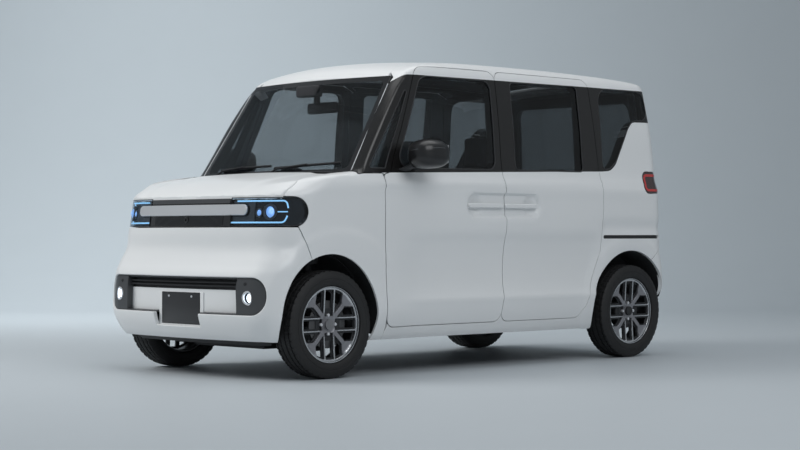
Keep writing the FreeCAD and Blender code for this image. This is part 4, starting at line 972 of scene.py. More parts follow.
def coat(obj: bpy.types.Object, *finishes: Finish) -> bpy.types.Object:
    """Add finishes to an object's material slots."""
    for finish in finishes:
        obj.data.materials.append(FINISHES.get(finish))
    return obj


def dress(
    obj: bpy.types.Object, body: str, slot: str, *finishes: Finish, replaces: Sequence[str] = (),
) -> bpy.types.Object:
    """Give a finished piece its materials and body.

    Args:
        obj: The piece.
        body: Body that it rides on.
        slot: The record's material slot; not used.
        finishes: Its finishes, in the order of its slots.
        replaces: CAD nodes that it stands for.

    Returns:
        The piece.
    """
    coat(obj, *finishes)
    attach(obj, body)
    if replaces:
        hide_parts(*replaces)
    log.info("%s on %s: %d faces", obj.name, body, len(obj.data.polygons))
    return obj


def linked(name: str, data: bpy.types.ID) -> bpy.types.Object:
    """New object of some data, in the scene."""
    obj = bpy.data.objects.new(name, data)
    bpy.context.scene.collection.objects.link(obj)
    return obj


def mesh_piece(name: str, points: np.ndarray, faces: Sequence[Sequence[int]]) -> bpy.types.Object:
    """Object of a mesh from points and faces.

    Args:
        name: Its name.
        points: Points in space.
        faces: Point numbers of each face.

    Returns:
        The object.
    """
    mesh = bpy.data.meshes.new(name)
    mesh.from_pydata([tuple(p) for p in points], [], [tuple(int(k) for k in f) for f in faces])
    mesh.update()
    return linked(name, mesh)


def primitive(make: Callable, name: str, **values: object) -> bpy.types.Object:
    """One of Blender's primitives, with its place put into its mesh.

    Args:
        make: Blender's operator.
        name: Its name.
        values: The operator's values.

    Returns:
        The object.
    """
    deselect()
    make(**values)
    obj = bpy.context.object
    obj.name = obj.data.name = name
    bpy.ops.object.transform_apply(location=True, rotation=True, scale=True)
    return obj


def grid_in(loops: Sequence[Loop], lines: Sequence[Loop], step: float) -> np.ndarray:
    """Grid points inside the first line, outside the others and clear of them all.

    Args:
        loops: Outer closed line, then the holes.
        lines: Open lines.
        step: Size of the grid.

    Returns:
        The points.
    """
    low, high = loops[0].min(0), loops[0].max(0)
    us, vs = (np.arange(math.ceil(low[k] / step), math.floor(high[k] / step) + 1) * step for k in (0, 1))
    grid = np.array(np.meshgrid(us, vs)).reshape(2, -1).T
    grid = grid[inside(grid, loops[0])]
    for loop in [*loops, *(np.vstack([line, line[::-1]]) for line in lines)]:
        grid = grid[clear_of(grid, loop, step * GRID_ROOM)]
    for loop in loops[1:]:
        grid = grid[~inside(grid, loop)]
    return grid


def triangulate(
    outer: Loop, holes: Sequence[Loop], step: float, lines: Sequence[Loop] = (),
) -> tuple[np.ndarray, np.ndarray]:
    """Even triangles inside a closed line and outside the holes.

    Args:
        outer: Closed line.
        holes: Closed lines to leave out; they may cross the outer one.
        step: Size of the triangles.
        lines: Open lines that triangles must not cross.

    Returns:
        Points and triangles.
    """
    loops = [dense(loop, step) for loop in (outer, *holes)]
    open_lines = [dense(line, step, closed=False) for line in lines]
    edges, start = [], 0
    for line, links in [(loop, len(loop)) for loop in loops] + [(line, len(line) - 1) for line in open_lines]:
        edges += [(start + k, start + (k + 1) % len(line)) for k in range(links)]
        start += len(line)
    points = np.vstack([*loops, *open_lines, grid_in(loops, open_lines, step)])
    found = delaunay_2d_cdt([Vector(p) for p in points], edges, [], 0, 1e-6)
    flat = np.array([tuple(p) for p in found[0]])
    tris = np.array([f for f in found[2] if len(f) == 3])
    middle = flat[tris].mean(1)
    keep = inside(middle, loops[0])
    for loop in loops[1:]:
        keep &= ~inside(middle, loop)
    a, b, c = (flat[tris[:, k]] for k in range(3))
    area = (b[:, 0] - a[:, 0]) * (c[:, 1] - a[:, 1]) - (b[:, 1] - a[:, 1]) * (c[:, 0] - a[:, 0])
    keep &= np.abs(area) > 1e-9
    tris = np.where((area < 0)[:, None], tris[:, ::-1], tris)[keep]
    used, tris = np.unique(tris, return_inverse=True)
    return flat[used], tris.reshape(-1, 3)


Place = Callable[[np.ndarray, np.ndarray], np.ndarray]


@dataclass
class Sheet:
    """How a closed sheet lies on a surface and how it is dressed."""

    place: Place
    finishes: Sequence[Finish]
    top: float = 0.0
    thick: float | Callable[[np.ndarray], np.ndarray] = 0.012
    step: float = STEP
    bevel: float = 0.0015
    lines: Sequence[Loop] = ()
    pick: Callable[[np.ndarray], np.ndarray] | None = None


def slab(name: str, outer: Loop, holes: Sequence[Loop], sheet: Sheet) -> bpy.types.Object:
    """Closed sheet over a flat outline, laid on a surface.

    Args:
        name: Its name.
        outer: Flat outline.
        holes: Flat outlines left out.
        sheet: Its surface, depth and finishes, of which the last is for the inner face.

    Returns:
        The object.
    """
    flat, tris = triangulate(outer, holes, sheet.step, sheet.lines)
    count = len(flat)
    sides = np.vstack([tris[:, (0, 1)], tris[:, (1, 2)], tris[:, (2, 0)]])
    owner = np.concatenate([np.arange(len(tris))] * 3)
    keys = {(int(a), int(b)): int(k) for (a, b), k in zip(sides, owner)}
    rim = [(a, b, k) for (a, b), k in keys.items() if (b, a) not in keys]
    deep = sheet.thick(flat) if callable(sheet.thick) else np.full(count, sheet.thick)
    upper = sheet.place(flat, np.full(count, sheet.top))
    lower = sheet.place(flat, sheet.top + deep)
    faces = [tuple(t) for t in tris] + [tuple(t[::-1] + count) for t in tris]
    faces += [(b, a, a + count, b + count) for a, b, _ in rim]
    obj = mesh_piece(name, np.vstack([upper, lower]), faces)
    normal = np.cross(upper[tris[:, 1]] - upper[tris[:, 0]], upper[tris[:, 2]] - upper[tris[:, 0]])
    if float(np.sum(normal * (upper[tris].mean(1) - lower[tris].mean(1)))) < 0:
        obj.data.flip_normals()
    outer_index = sheet.pick(flat[tris].mean(1)) if sheet.pick else np.zeros(len(tris), int)
    inner_index = np.full(len(tris), len(sheet.finishes) - 1)
    index = np.concatenate([outer_index, inner_index, outer_index[[k for _, _, k in rim]]])
    obj.data.polygons.foreach_set("material_index", index.astype(np.int32))
    coat(obj, *sheet.finishes)
    if sheet.bevel > 0:
        modify(
            obj, "BEVEL", width=sheet.bevel, segments=1, limit_method="ANGLE",
            angle_limit=math.radians(SLAB_BEVEL_ANGLE),
        )
    sharpen(obj)
    return obj


def patch(
    name: str, outer: Loop, finish: Finish, top: float, thick: float, step: float,
    holes: Sequence[Loop] = (), bevel_width: float = 0.0015,
) -> bpy.types.Object:
    """Sheet of one finish on the body's surface.

    Args:
        name: Its name.
        outer: Flat outline.
        finish: Its finish.
        top: Depth of its outer face.
        thick: Its thickness.
        step: Size of its triangles.
        holes: Flat outlines left out.
        bevel_width: Width of its bevel.

    Returns:
        The object.
    """
    sheet = Sheet(on_skin, (finish,), top=top, thick=thick, step=step, bevel=bevel_width)
    return slab(name, outer, list(holes), sheet)


def on_skin(flat: np.ndarray, depth: np.ndarray | float) -> np.ndarray:
    """Place flat points on the body's surface."""
    return SKIN.at(flat, depth)


def on_bonnet(flat: np.ndarray, depth: np.ndarray | float) -> np.ndarray:
    """Place points given along and across on the bonnet."""
    return np.stack([flat[:, 0], flat[:, 1], SKIN.bonnet_at(flat[:, 0], flat[:, 1]) - depth], 1)


def on_roof(flat: np.ndarray, depth: np.ndarray | float) -> np.ndarray:
    """Place points given along and across on the roof."""
    return np.stack([flat[:, 0], flat[:, 1], SKIN.roof_at(flat[:, 0], flat[:, 1]) - depth], 1)


def on_screen(flat: np.ndarray, depth: np.ndarray | float) -> np.ndarray:
    """Place points given across and up on the windscreen.

    Args:
        flat: Places across and up.
        depth: Depth of each.

    Returns:
        Points in space.
    """
    y, z = flat[:, 0], flat[:, 1]
    foot, head = scaled(((0.639, 0.614), (0.418, 0.925)))
    x = foot[0] + (z - foot[1]) * (head[0] - foot[0]) / (head[1] - foot[1]) - y * y / (2 * SKIN.screen_radius)
    return np.stack([x - 0.828 * depth, y, z - 0.56 * depth], 1)


def mirror_piece(obj: bpy.types.Object, name: str) -> bpy.types.Object:
    """The same piece on the right side, with a mesh of its own.

    Args:
        obj: The left piece.
        name: Name of the right one.

    Returns:
        The right piece.
    """
    mesh = obj.data.copy()
    mesh.name = name
    mesh.transform(Matrix.Scale(-1, 4, (0, 1, 0)))
    mesh.flip_normals()
    return linked(name, mesh)


def pair(left: bpy.types.Object, name: str, slot: str, *nodes: str) -> None:
    """Mirror a left piece of the body and attach both to the body, hiding the CAD nodes they stand for.

    Args:
        left: The left piece.
        name: Stem of both names.
        slot: Material slot.
        nodes: CAD nodes that both stand for.
    """
    right = mirror_piece(left, f"{name}_right")
    left.name = left.data.name = f"{name}_left"
    for piece in (left, right):
        dress(piece, "body", slot, replaces=nodes)


def tube(name: str, points: np.ndarray, radius: float, closed: bool = False) -> bpy.types.Object:
    """Round strip along points.

    Args:
        name: Its name.
        points: Points in space.
        radius: Its radius.
        closed: Whether it joins its start.

    Returns:
        The object.
    """
    curve = bpy.data.curves.new(name, "CURVE")
    curve.dimensions = "3D"
    curve.bevel_depth = radius
    curve.bevel_resolution = 2
    curve.use_fill_caps = True
    line = curve.splines.new("POLY")
    line.points.add(len(points) - 1)
    for point, place in zip(line.points, points):
        point.co = (*place, 1.0)
        point.radius = 1.0
    line.use_cyclic_u = closed
    obj = linked(name, curve)
    use(obj)
    bpy.ops.object.convert(target="MESH")
    sharpen(obj, 60)
    return obj


def box_piece(
    name: str, low: Sequence[float], high: Sequence[float], width: float, segments: int = 3,
) -> bpy.types.Object:
    """Box between two corners with rounded edges.

    Args:
        name: Its name.
        low: Lowest corner.
        high: Highest corner.
        width: Width of the rounding.
        segments: Steps of the rounding.

    Returns:
        The box.
    """
    middle, size = [(a + b) / 2 for a, b in zip(low, high)], [b - a for a, b in zip(low, high)]
    obj = primitive(bpy.ops.mesh.primitive_cube_add, name, size=1, location=middle, scale=size)
    bevel(obj, width, segments)
    sharpen(obj, 40)
    return obj


def lathe(name: str, profile: Sequence[Sequence[float]], steps: int, finish: Finish) -> bpy.types.Object:
    """Piece turned about the wheel's axle, along Y.

    Args:
        name: Its name.
        profile: Closed line of distance along the axle and radius.
        steps: Steps round.
        finish: Its finish.

    Returns:
        The object.
    """
    angles = [2 * math.pi * k / steps for k in range(steps)]
    points = [(r * math.cos(a), y, r * math.sin(a)) for a in angles for y, r in profile]
    obj = outward(mesh_piece(name, np.array(points), around(steps, len(profile))))
    sharpen(obj, 35)
    return coat(obj, finish)


def around(rows: int, count: int, closed: bool = True) -> list[tuple[int, ...]]:
    """Faces between closed rows of points.

    Args:
        rows: Number of rows.
        count: Points in each row.
        closed: Whether the last row meets the first.

    Returns:
        The faces.
    """
    faces = []
    for k in range(rows if closed else rows - 1):
        here, there = k * count, (k + 1) % rows * count
        faces += [(here + i, here + (i + 1) % count, there + (i + 1) % count, there + i) for i in range(count)]
    return faces


def join(name: str, pieces: Sequence[bpy.types.Object]) -> bpy.types.Object:
    """One object of several.

    Args:
        name: Its name.
        pieces: The objects, of which the first stays.

    Returns:
        The joined object.
    """
    deselect()
    for piece in pieces:
        piece.select_set(True)
    bpy.context.view_layer.objects.active = pieces[0]
    bpy.ops.object.join()
    pieces[0].name = pieces[0].data.name = name
    return pieces[0]


# ---------------------------------------------------------------- outlines
def scaled(shares: Sequence[Sequence[float]], across: float = HALF_LONG) -> Loop:
    """Shares of the body's length or width and of its height, in metres."""
    return np.asarray(shares, float) * (across, TALL)


FRONT_DOOR = scaled((
    (0.471, 0.1464), (0.481, 0.455), (0.483, 0.6145), (0.448, 0.6175), (0.303, 0.944), (0.277, 0.960),
    (-0.0795, 0.960), (-0.082, 0.615), (-0.091, 0.473), (-0.082, 0.251), (-0.068, 0.1464),
))
SLIDING_DOOR = scaled((
    (-0.068, 0.1464), (-0.082, 0.251), (-0.091, 0.473), (-0.082, 0.615), (-0.0795, 0.960), (-0.554, 0.960),
    (-0.574, 0.9385), (-0.601, 0.642), (-0.607, 0.5195), (-0.594, 0.372), (-0.540, 0.2575), (-0.516, 0.192),
    (-0.477, 0.1464),
))
FRONT_WINDOW = scaled(((0.4195, 0.634), (0.2875, 0.916), (0.255, 0.928), (-0.054, 0.928), (-0.054, 0.639)))
SLIDING_WINDOW = scaled(((-0.154, 0.640), (-0.154, 0.929), (-0.511, 0.934), (-0.514, 0.6425)))
QUARTER_FRONT = scaled(((0.471, 0.632), (0.545, 0.632), (0.3605, 0.877), (0.3475, 0.877)))
QUARTER_REAR = scaled((
    (-0.6255, 0.6525), (-0.666, 0.655), (-0.707, 0.684), (-0.7835, 0.799), (-0.816, 0.830), (-0.907, 0.832),
    (-0.901, 0.934), (-0.6255, 0.934),
))
CORNER = 0.059


def arc(centre: Sequence[float], radius: float, start: float, end: float, steps: int = 30) -> Loop:
    """Points on an arc between two angles in degrees."""
    angles = np.radians(np.linspace(start, end, steps))
    return np.stack([centre[0] + radius * np.cos(angles), centre[1] + radius * np.sin(angles)], 1)


def ring(centre: Sequence[float], radius: float, steps: int = 32) -> Loop:
    """Closed circle."""
    return arc(centre, radius, 0, 360 - 360 / steps, steps)


def corners_of(low: Sequence[float], high: Sequence[float]) -> list[tuple[float, float]]:
    """Corners of a flat box."""
    return [(low[0], low[1]), (high[0], low[1]), (high[0], high[1]), (low[0], high[1])]


def level_box(foot: Sequence[float], head: Sequence[float]) -> list[tuple[float, float]]:
    """Corners of a shape about the car's middle, from its left foot round to its right one."""
    return [(foot[0], foot[1]), (head[0], head[1]), (-head[0], head[1]), (-foot[0], foot[1])]


def stadium(low: Sequence[float], high: Sequence[float]) -> Loop:
    """Closed outline of a box whose ends are half circles."""
    return rounded(corners_of(low, high), min(high[0] - low[0], high[1] - low[1]) / 2 - 0.001)


def looped(loop: Loop) -> Loop:
    """A closed line with its first point again at its end."""
    return np.vstack([loop, loop[:1]])


def mirrored(left: Loop, middle: float = 0.0) -> Loop:
    """The other half of a flat outline, about a girth, in reversed order."""
    right = left[::-1].copy()
    right[:, 0] = 2 * middle - right[:, 0]
    return right


def girth_at(x: float, z: float) -> float:
    """Girth of a place along the left side and up."""
    return float(SKIN.side([(x, z)])[0][0])


def top_edge(start: float, end: float, steps: int, test: Callable[[np.ndarray], np.ndarray], after: float) -> Loop:
    """Flat line where a test on the body's points first turns positive.

    Args:
        start: First girth.
        end: Last girth.
        steps: Number of points.
        test: Function of points.
        after: Rise to start from.

    Returns:
        Girths and rises.
    """
    girths = np.linspace(start, end, steps)
    return np.array([(girth, SKIN.first_rise(girth, test, after)) for girth in girths])


def belt(x: float) -> float:
    """Height of the body's waist, where the black of the windows starts."""
    return 1.10 + (1.06 - x) / 2.08 * 0.055


def black_zone() -> Loop:
    """Flat outline of the black band from the screen pillar to the rear quarter.

    Returns:
        Closed outline in girth and rise.
    """
    foot = [(x, belt(x)) for x in np.linspace(1.12, -1.05, 40)]
    fin = [foot[-1], (-1.135, 1.162), (-1.193, 1.206), (-1.325, 1.424), (-1.372, 1.474), (-1.556, 1.478)]
    lower = SKIN.side(foot + list(rounded(fin, 0.09, closed=False)))
    upper = [(lower[-1][0], 1.678), (girth_at(-1.05, 1.60), 1.676), (girth_at(0.4, 1.60), 1.665), (lower[0][0], 1.660)]
    return np.vstack([lower, upper])


ZONE = black_zone()
WING_END = girth_at(0.98, 1.2)


def inner_half(z: np.ndarray) -> np.ndarray:
    """Half width of the cabin at a height."""
    return np.interp(z, (0.0, 1.10, 1.638, 1.722, 1.758), (0.637, 0.637, 0.605, 0.538, 0.50))


def fold_lines(start: float, end: float) -> list[Loop]:
    """Flat lines along the body's upper edge, so that triangles follow it.

    Args:
        start: First girth.
        end: Last girth.

    Returns:
        Open lines at and beside the edge.
    """
    girths = np.arange(start, end, 0.02)
    rises = np.interp(girths, SKIN.girths, SKIN.folds)
    return [np.stack([girths, rises + by], 1) for by in (-0.045, -0.022, 0.0, 0.022, 0.045)]


def wall(flat: np.ndarray) -> np.ndarray:
    """Thickness of the body's side, which reaches in to the cabin.

    Args:
        flat: Girth and rise of each point.

    Returns:
        Thickness at each.
    """
    deep = np.clip(SKIN.half(flat[:, 1]) - inner_half(flat[:, 1]), 0.030, 0.100)
    deep = np.where(flat[:, 1] > 1.71, 0.030, deep)
    deep = np.where(flat[:, 0] > SKIN.ends[2] - 0.05, 0.035, deep)
    return np.where(flat[:, 0] < WING_END, 0.030, deep)


def zoned(flat: np.ndarray) -> np.ndarray:
    """Second finish inside the black band, first one elsewhere."""
    return inside(flat, ZONE).astype(int)


def strip(
    name: str, loop: Loop, depth: float, radius: float,
    closed: bool = True, place: Place = on_skin, step: float = 0.012,
) -> bpy.types.Object:
    """Round strip along a flat line on a surface.

    Args:
        name: Its name.
        loop: Flat line.
        depth: Depth of its middle.
        radius: Its radius.
        closed: Whether it joins its start.
        place: Surface that it lies on.
        step: Distance between its points.

    Returns:
        The object.
    """
    return tube(name, place(dense(loop, step, closed), depth), radius, closed)


# ---------------------------------------------------------------- body shell
@dataclass
class BodySide:
    """Fixed side of the body: sill, pillars, roof rail and rear quarter."""

    sill_low: float = 0.193
    seam: float = 0.5565
    screen_foot: tuple[float, float] = (0.646, 1.099)
    screen_head: tuple[float, float] = (0.594, 1.660)
    arch_radius: float = 0.36
    lamp_low: float = 1.027
    lamp_high: float = 1.164
    lamp_front: float = -1.436

    def limit(self, points: np.ndarray) -> np.ndarray:
        """Positive where a point is inboard of the roof seam and the windscreen's edge."""
        z = points[:, 2]
        foot, head = self.screen_foot, self.screen_head
        edge = foot[0] + (z - foot[1]) / (head[1] - foot[1]) * (head[0] - foot[0])
        return np.where(z > head[1], self.seam, edge) - points[:, 1]

    def outline(self) -> Loop:
        """Flat outline of the left side.

        Returns:
            Closed outline in girth and rise.
        """
        sill = SKIN.side([(0.806, self.sill_low), (-0.964, self.sill_low)])
        arch = SKIN.side(arc(REAR_ARCH, self.arch_radius, -18.6, 123.4, 36))
        bumper = SKIN.side([(-1.505, 0.6105), (-1.6126, 0.7055)])
        gate = SKIN.tail_loop([
            (0.604, 0.7055), (0.604, 0.86), (0.604, 1.011), (0.588, 1.096), (0.572, 1.181), (0.5625, 1.387),
            (0.553, 1.593), (0.553, 1.690),
        ])
        top = []
        for girth in np.linspace(float(gate[-1][0]), girth_at(0.74, 1.2), 120):
            top.append((girth, SKIN.first_rise(girth, self.limit, 1.20 if girth < 1.9 else 1.66)))
        pillar = top_edge(top[-1][0], girth_at(1.004, 1.104), 22, self.limit, 1.104)[1:]
        foot = SKIN.side([(1.003, belt(1.003) + 0.0015), (0.832, belt(0.832) + 0.0015), (0.790, 1.090), (0.790, 0.275)])
        return np.vstack([sill, arch, bumper, gate, top[1:], pillar, foot])

    def lamp(self) -> Loop:
        """Flat outline of the tail lamp."""
        side = [SKIN.side([(self.lamp_front, z)])[0] for z in (self.lamp_low, self.lamp_high)]
        edge = [SKIN.tail_loop([place])[0] for place in ((0.578, self.lamp_high), (0.602, self.lamp_low))]
        return rounded(np.vstack([side, edge]), 0.045)

    def build(self) -> None:
        """Both sides with their fixed glass, seals, lamps and slots."""
        doors = [grown(door_outline(line), gap) for line, gap in ((FRONT_DOOR, SHUT), (SLIDING_DOOR, 0.004))]
        panes = {
            name: SKIN.side(rounded(corners, radius), True)
            for name, corners, radius in (("quarter_front", QUARTER_FRONT, 0.012), ("quarter_rear", QUARTER_REAR, 0.09))
        }
        lamp = self.lamp()
        slot = SKIN.side(stadium((-1.60, 0.742), (-1.035, 0.764)), True)
        folds = fold_lines(girth_at(0.99, 1.15), SKIN.ends[3])
        cover = Sheet(
            on_skin, (PEARL, PILLAR_BLACK, CABIN_TRIM), thick=wall, lines=[looped(ZONE)] + folds, pick=zoned,
        )
        holes = [*doors, *panes.values(), grown(lamp, 0.003), slot]
        shell = slab("side_shell_left", self.outline(), holes, cover)
        gutter = patch("rail_slot_left", grown(slot, 0.001), MATT_BLACK, 0.012, 0.010, 0.020)
        pair(join("side_shell_left", [shell, gutter]), "side_shell", "body_paint", "body_sides")
        glass = [patch(name, grown(loop, 0.004), TINT, 0.003, 0.004, 0.030) for name, loop in panes.items()]
        pair(join("quarter_glass_left", glass), "quarter_glass", "tinted_glass")
        seals = [strip(f"{name}_seal", loop, 0.002, 0.004) for name, loop in panes.items()]
        pair(coat(join("quarter_seal_left", seals), MATT_BLACK), "quarter_seal", "black_trim")
        body = patch("lamp_body", lamp, SMOKED, 0.004, 0.030, 0.014)
        red = patch("lamp_ring", grown(lamp, -0.014), RED_LENS, 0.0015, 0.005, 0.012, [grown(lamp, -0.030)])
        pair(join("tail_lamp_left", [body, red]), "tail_lamp", "lamp_red", "tail_lamps")


def door_outline(line: Loop) -> Loop:
    """Flat outline of a door on the left side."""
    return SKIN.side(rounded(line, CORNER), True)


@dataclass
class Doors:
    """Front doors on their hinges and the sliding doors."""

    handle_low: float = 0.920
    handle_high: float = 0.946

    def build(self) -> None:
        """All four doors with glass, seals and handles."""
        front = self._door("front_door", FRONT_DOOR, FRONT_WINDOW, CORNER, (-0.125, 0.169), CLEAR)
        room = grown(door_outline(FRONT_DOOR), SHUT)
        slide = self._door("sliding_door", SLIDING_DOOR, SLIDING_WINDOW, 0.030, (-0.419, -0.140), TINT, [room])
        for shell, glass, trim in (front, slide):
            hinged = shell is front[0]
            for side in Side:
                word = side.word
                body = f"door_{word}" if hinged else "body"
                for piece, slot, nodes in (
                    (shell, "body_paint", (f"front_door_{word}",) if hinged else ("sliding_doors",)),
                    (
                        glass, "clear_glass" if hinged else "tinted_glass",
                        (f"front_door_glass_{word}",) if hinged else ("side_glass",),
                    ),
                    (trim, "black_trim", ()),
                ):
                    stem = piece.name.split(".")[0].replace("_left", "")
                    copy = piece if side is Side.LEFT else mirror_piece(piece, f"{stem}_right")
                    dress(copy, body, slot, replaces=nodes)

    def _door(
        self, name: str, line: Loop, window: Loop, corner: float, bar: tuple[float, float], tint: Finish,
        rooms: Sequence[Loop] = (),
    ) -> tuple[bpy.types.Object, ...]:
        """Left door of one kind.

        Args:
            name: Stem of its names.
            line: Its outline along and up.
            window: Its window's outline.
            corner: Window corner radius.
            bar: Ends of its handle.
            tint: Finish of its glass.
            rooms: Flat outlines that it leaves free.

        Returns:
            Its shell, glass and black trim.
        """
        pane = SKIN.side(rounded(window, corner), True)
        cover = Sheet(
            on_skin, (PEARL, PILLAR_BLACK, CABIN_TRIM), thick=wall, lines=[looped(ZONE)], pick=zoned, bevel=0.0025,
        )
        shell = slab(f"{name}_shell_left", door_outline(line), [pane, *rooms], cover)
        glass = patch(f"{name}_pane_left", grown(pane, 0.005), tint, 0.006, 0.004, 0.030, bevel_width=0)
        seal = coat(strip(f"{name}_seal", pane, 0.002, 0.0045), MATT_BLACK)
        return shell, glass, join(f"{name}_trim_left", [seal, self._handle(name, bar)])

    def _handle(self, name: str, bar: tuple[float, float]) -> bpy.types.Object:
        """Handle bar that bridges its recess.

        Args:
            name: Stem of the name.
            bar: Its ends along the car.

        Returns:
            The bar.
        """
        corners = corners_of((bar[0], self.handle_low), (bar[1], self.handle_high))
        levels = (0.85, 0.95, 1.05)

        def proud(flat: np.ndarray, depth: np.ndarray) -> np.ndarray:
            """Place on the plain surface outside the recess."""
            spot = SKIN.at(flat, 0.0)
            spot[:, 1] = np.interp(flat[:, 1], levels, SKIN.half(np.array(levels))) + 0.002 - depth
            return spot

        sheet = Sheet(proud, (PEARL,), thick=0.013, step=0.010, bevel=0.004)
        return slab(f"{name}_handle", SKIN.side(rounded(corners, 0.011), True), [], sheet)


@dataclass
class Tailgate:
    """Tailgate with its window, and the cap over its hinges."""

    top_front: float = -1.480
    edge: float = 0.549
    thick: float = 0.045

    def outline(self) -> Loop:
        """Flat outline across the tail.

        Returns:
            Closed outline in girth and rise.
        """
        left = SKIN.tail_loop([
            (0.575, 0.560), (0.600, 0.698), (0.600, 1.011), (0.568, 1.181), (0.549, 1.593), (0.549, 1.690),
        ])
        middle = SKIN.ends[-1]
        first = float(left[-1][0])
        girths = np.linspace(first + 0.004, 2 * middle - first - 0.004, 40)
        near = np.minimum(girths, 2 * middle - girths)
        rises = [SKIN.first_rise(girth, lambda p: p[:, 0] + 1.555, 1.66) for girth in near]
        return np.vstack([left, np.stack([girths, rises], 1), mirrored(left, middle)])

    def build(self) -> None:
        """Gate, window, cap, garnish and wiper."""
        window = self._rounded(level_box((0.509, 1.172), (0.487, 1.620)), CORNER)
        frit = grown(window, 0.030)
        plate = self._rounded(level_box((0.21, 0.72), (0.21, 0.93)), 0.02)
        cover = Sheet(
            on_skin, (PEARL, GLOSS_BLACK, CABIN_TRIM), thick=self.thick, step=0.020,
            lines=[looped(frit)], pick=lambda flat: inside(flat, frit).astype(int),
        )
        shell = slab("tailgate_shell", self.outline(), [window, plate], cover)
        recess = patch("tailgate_recess", grown(plate, 0.001), PEARL, 0.020, 0.012, 0.030)
        cap = slab("tailgate_cap", self._cap(), [], Sheet(on_roof, (PEARL,), top=0.006, thick=0.020, step=0.022))
        dress(join("tailgate_shell", [shell, recess, cap]), "tailgate_lid", "body_paint", replaces=("tailgate",))
        glass = patch("tailgate_pane", grown(window, 0.006), TINT, 0.004, 0.004, 0.040)
        dress(glass, "tailgate_lid", "tinted_glass", replaces=("tailgate_glass",))
        garnish = self._rounded(level_box((0.40, 0.955), (0.40, 1.000)), 0.015)
        bar = patch("tailgate_garnish", garnish, SATIN_SILVER, -0.001, 0.008, 0.020)
        seal = strip("tailgate_seal", window, 0.002, 0.005)
        arm_line = SKIN.tail_loop([(-0.02, 1.135), (0.30, 1.215)])
        arm = strip("tailgate_wiper", arm_line, 0.0, 0.007, closed=False, step=0.02)
        dress(join("tailgate_trim", [bar, seal, arm]), "tailgate_lid", "black_trim", MATT_BLACK)

    @staticmethod
    def _rounded(corners: Sequence[Sequence[float]], radius: float) -> Loop:
        """Closed flat outline on the tail with rounded corners."""
        return rounded([SKIN.tail_loop([corner])[0] for corner in corners], radius)

    def _cap(self) -> Loop:
        """Outline along and across of the part over the roof."""
        across = np.linspace(-self.edge, self.edge, 25)
        rear = [(-1.553 + 0.012 * (1 - (y / self.edge) ** 2) - 0.012, y) for y in across]
        return np.array([(self.top_front, self.edge), (self.top_front, -self.edge)] + rear)


@dataclass
class Roof:
    """Roof panel with its shallow ribs."""

    half: float = 0.5530
    rear: float = -1.4605
    screen_top: float = 1.664

    def build(self) -> None:
        """Panel from the windscreen's head to the tailgate."""
        across = np.linspace(self.half, -self.half, 61)
        ahead = on_screen(np.stack([across, np.full(61, self.screen_top)], 1), 0.0)[:, 0]
        front = np.stack([ahead - 0.010 * smooth(np.abs(across), 0.525, self.half), across], 1)
        outline = np.vstack([front, [(self.rear, -self.half), (self.rear, self.half)]])
        panel = slab("roof_skin", outline, [], Sheet(self._ribbed, (PEARL, HEADLINER), thick=0.028, step=0.022))
        dress(panel, "body", "body_paint", replaces=("roof_panel",))

    @staticmethod
    def _ribbed(flat: np.ndarray, depth: np.ndarray) -> np.ndarray:
        """Place on the roof, set in a little between its ribs and thin at its rear edge.

        Args:
            flat: Places along and across.
            depth: Depth of each.

        Returns:
            Points in space.
        """
        back, y = -flat[:, 0], np.abs(flat[:, 1])
        span = smooth(back, -0.30, -0.22) * (1 - smooth(back, 1.30, 1.40))
        rib = 0.003 * smooth(np.abs(y - 0.25), 0.035, 0.055) * (y < 0.46) * span
        thin = 1 - 0.75 * smooth(back, 1.38, 1.42)
        return on_roof(flat, depth * thin + rib * (depth < 0.02))


@dataclass
class Bonnet:
    """Bonnet lid."""

    rear: float = 1.1370
    half: float = 0.6515
    lip: float = 0.9760

    def outline(self) -> Loop:
        """Outline along and across.

        Returns:
            Closed outline.
        """
        front = []
        xs = np.linspace(1.30, 1.70, 401)
        for y in np.linspace(-self.half, self.half, 41):
            below = np.nonzero(SKIN.bonnet_at(xs, np.full(len(xs), y)) < self.lip)[0]
            front.append((float(xs[below[0]]) if len(below) else 1.62, y))
        return np.array([(self.rear, self.half), (self.rear, -self.half)] + front)

    def build(self) -> None:
        """Lid with a dark lining."""
        cover = Sheet(on_bonnet, (PEARL, DARK_STEEL), thick=0.022, step=0.018, bevel=0.002)
        lid = slab("bonnet_lid_skin", self.outline(), [], cover)
        dress(lid, "bonnet_lid", "body_paint", replaces=("bonnet",))


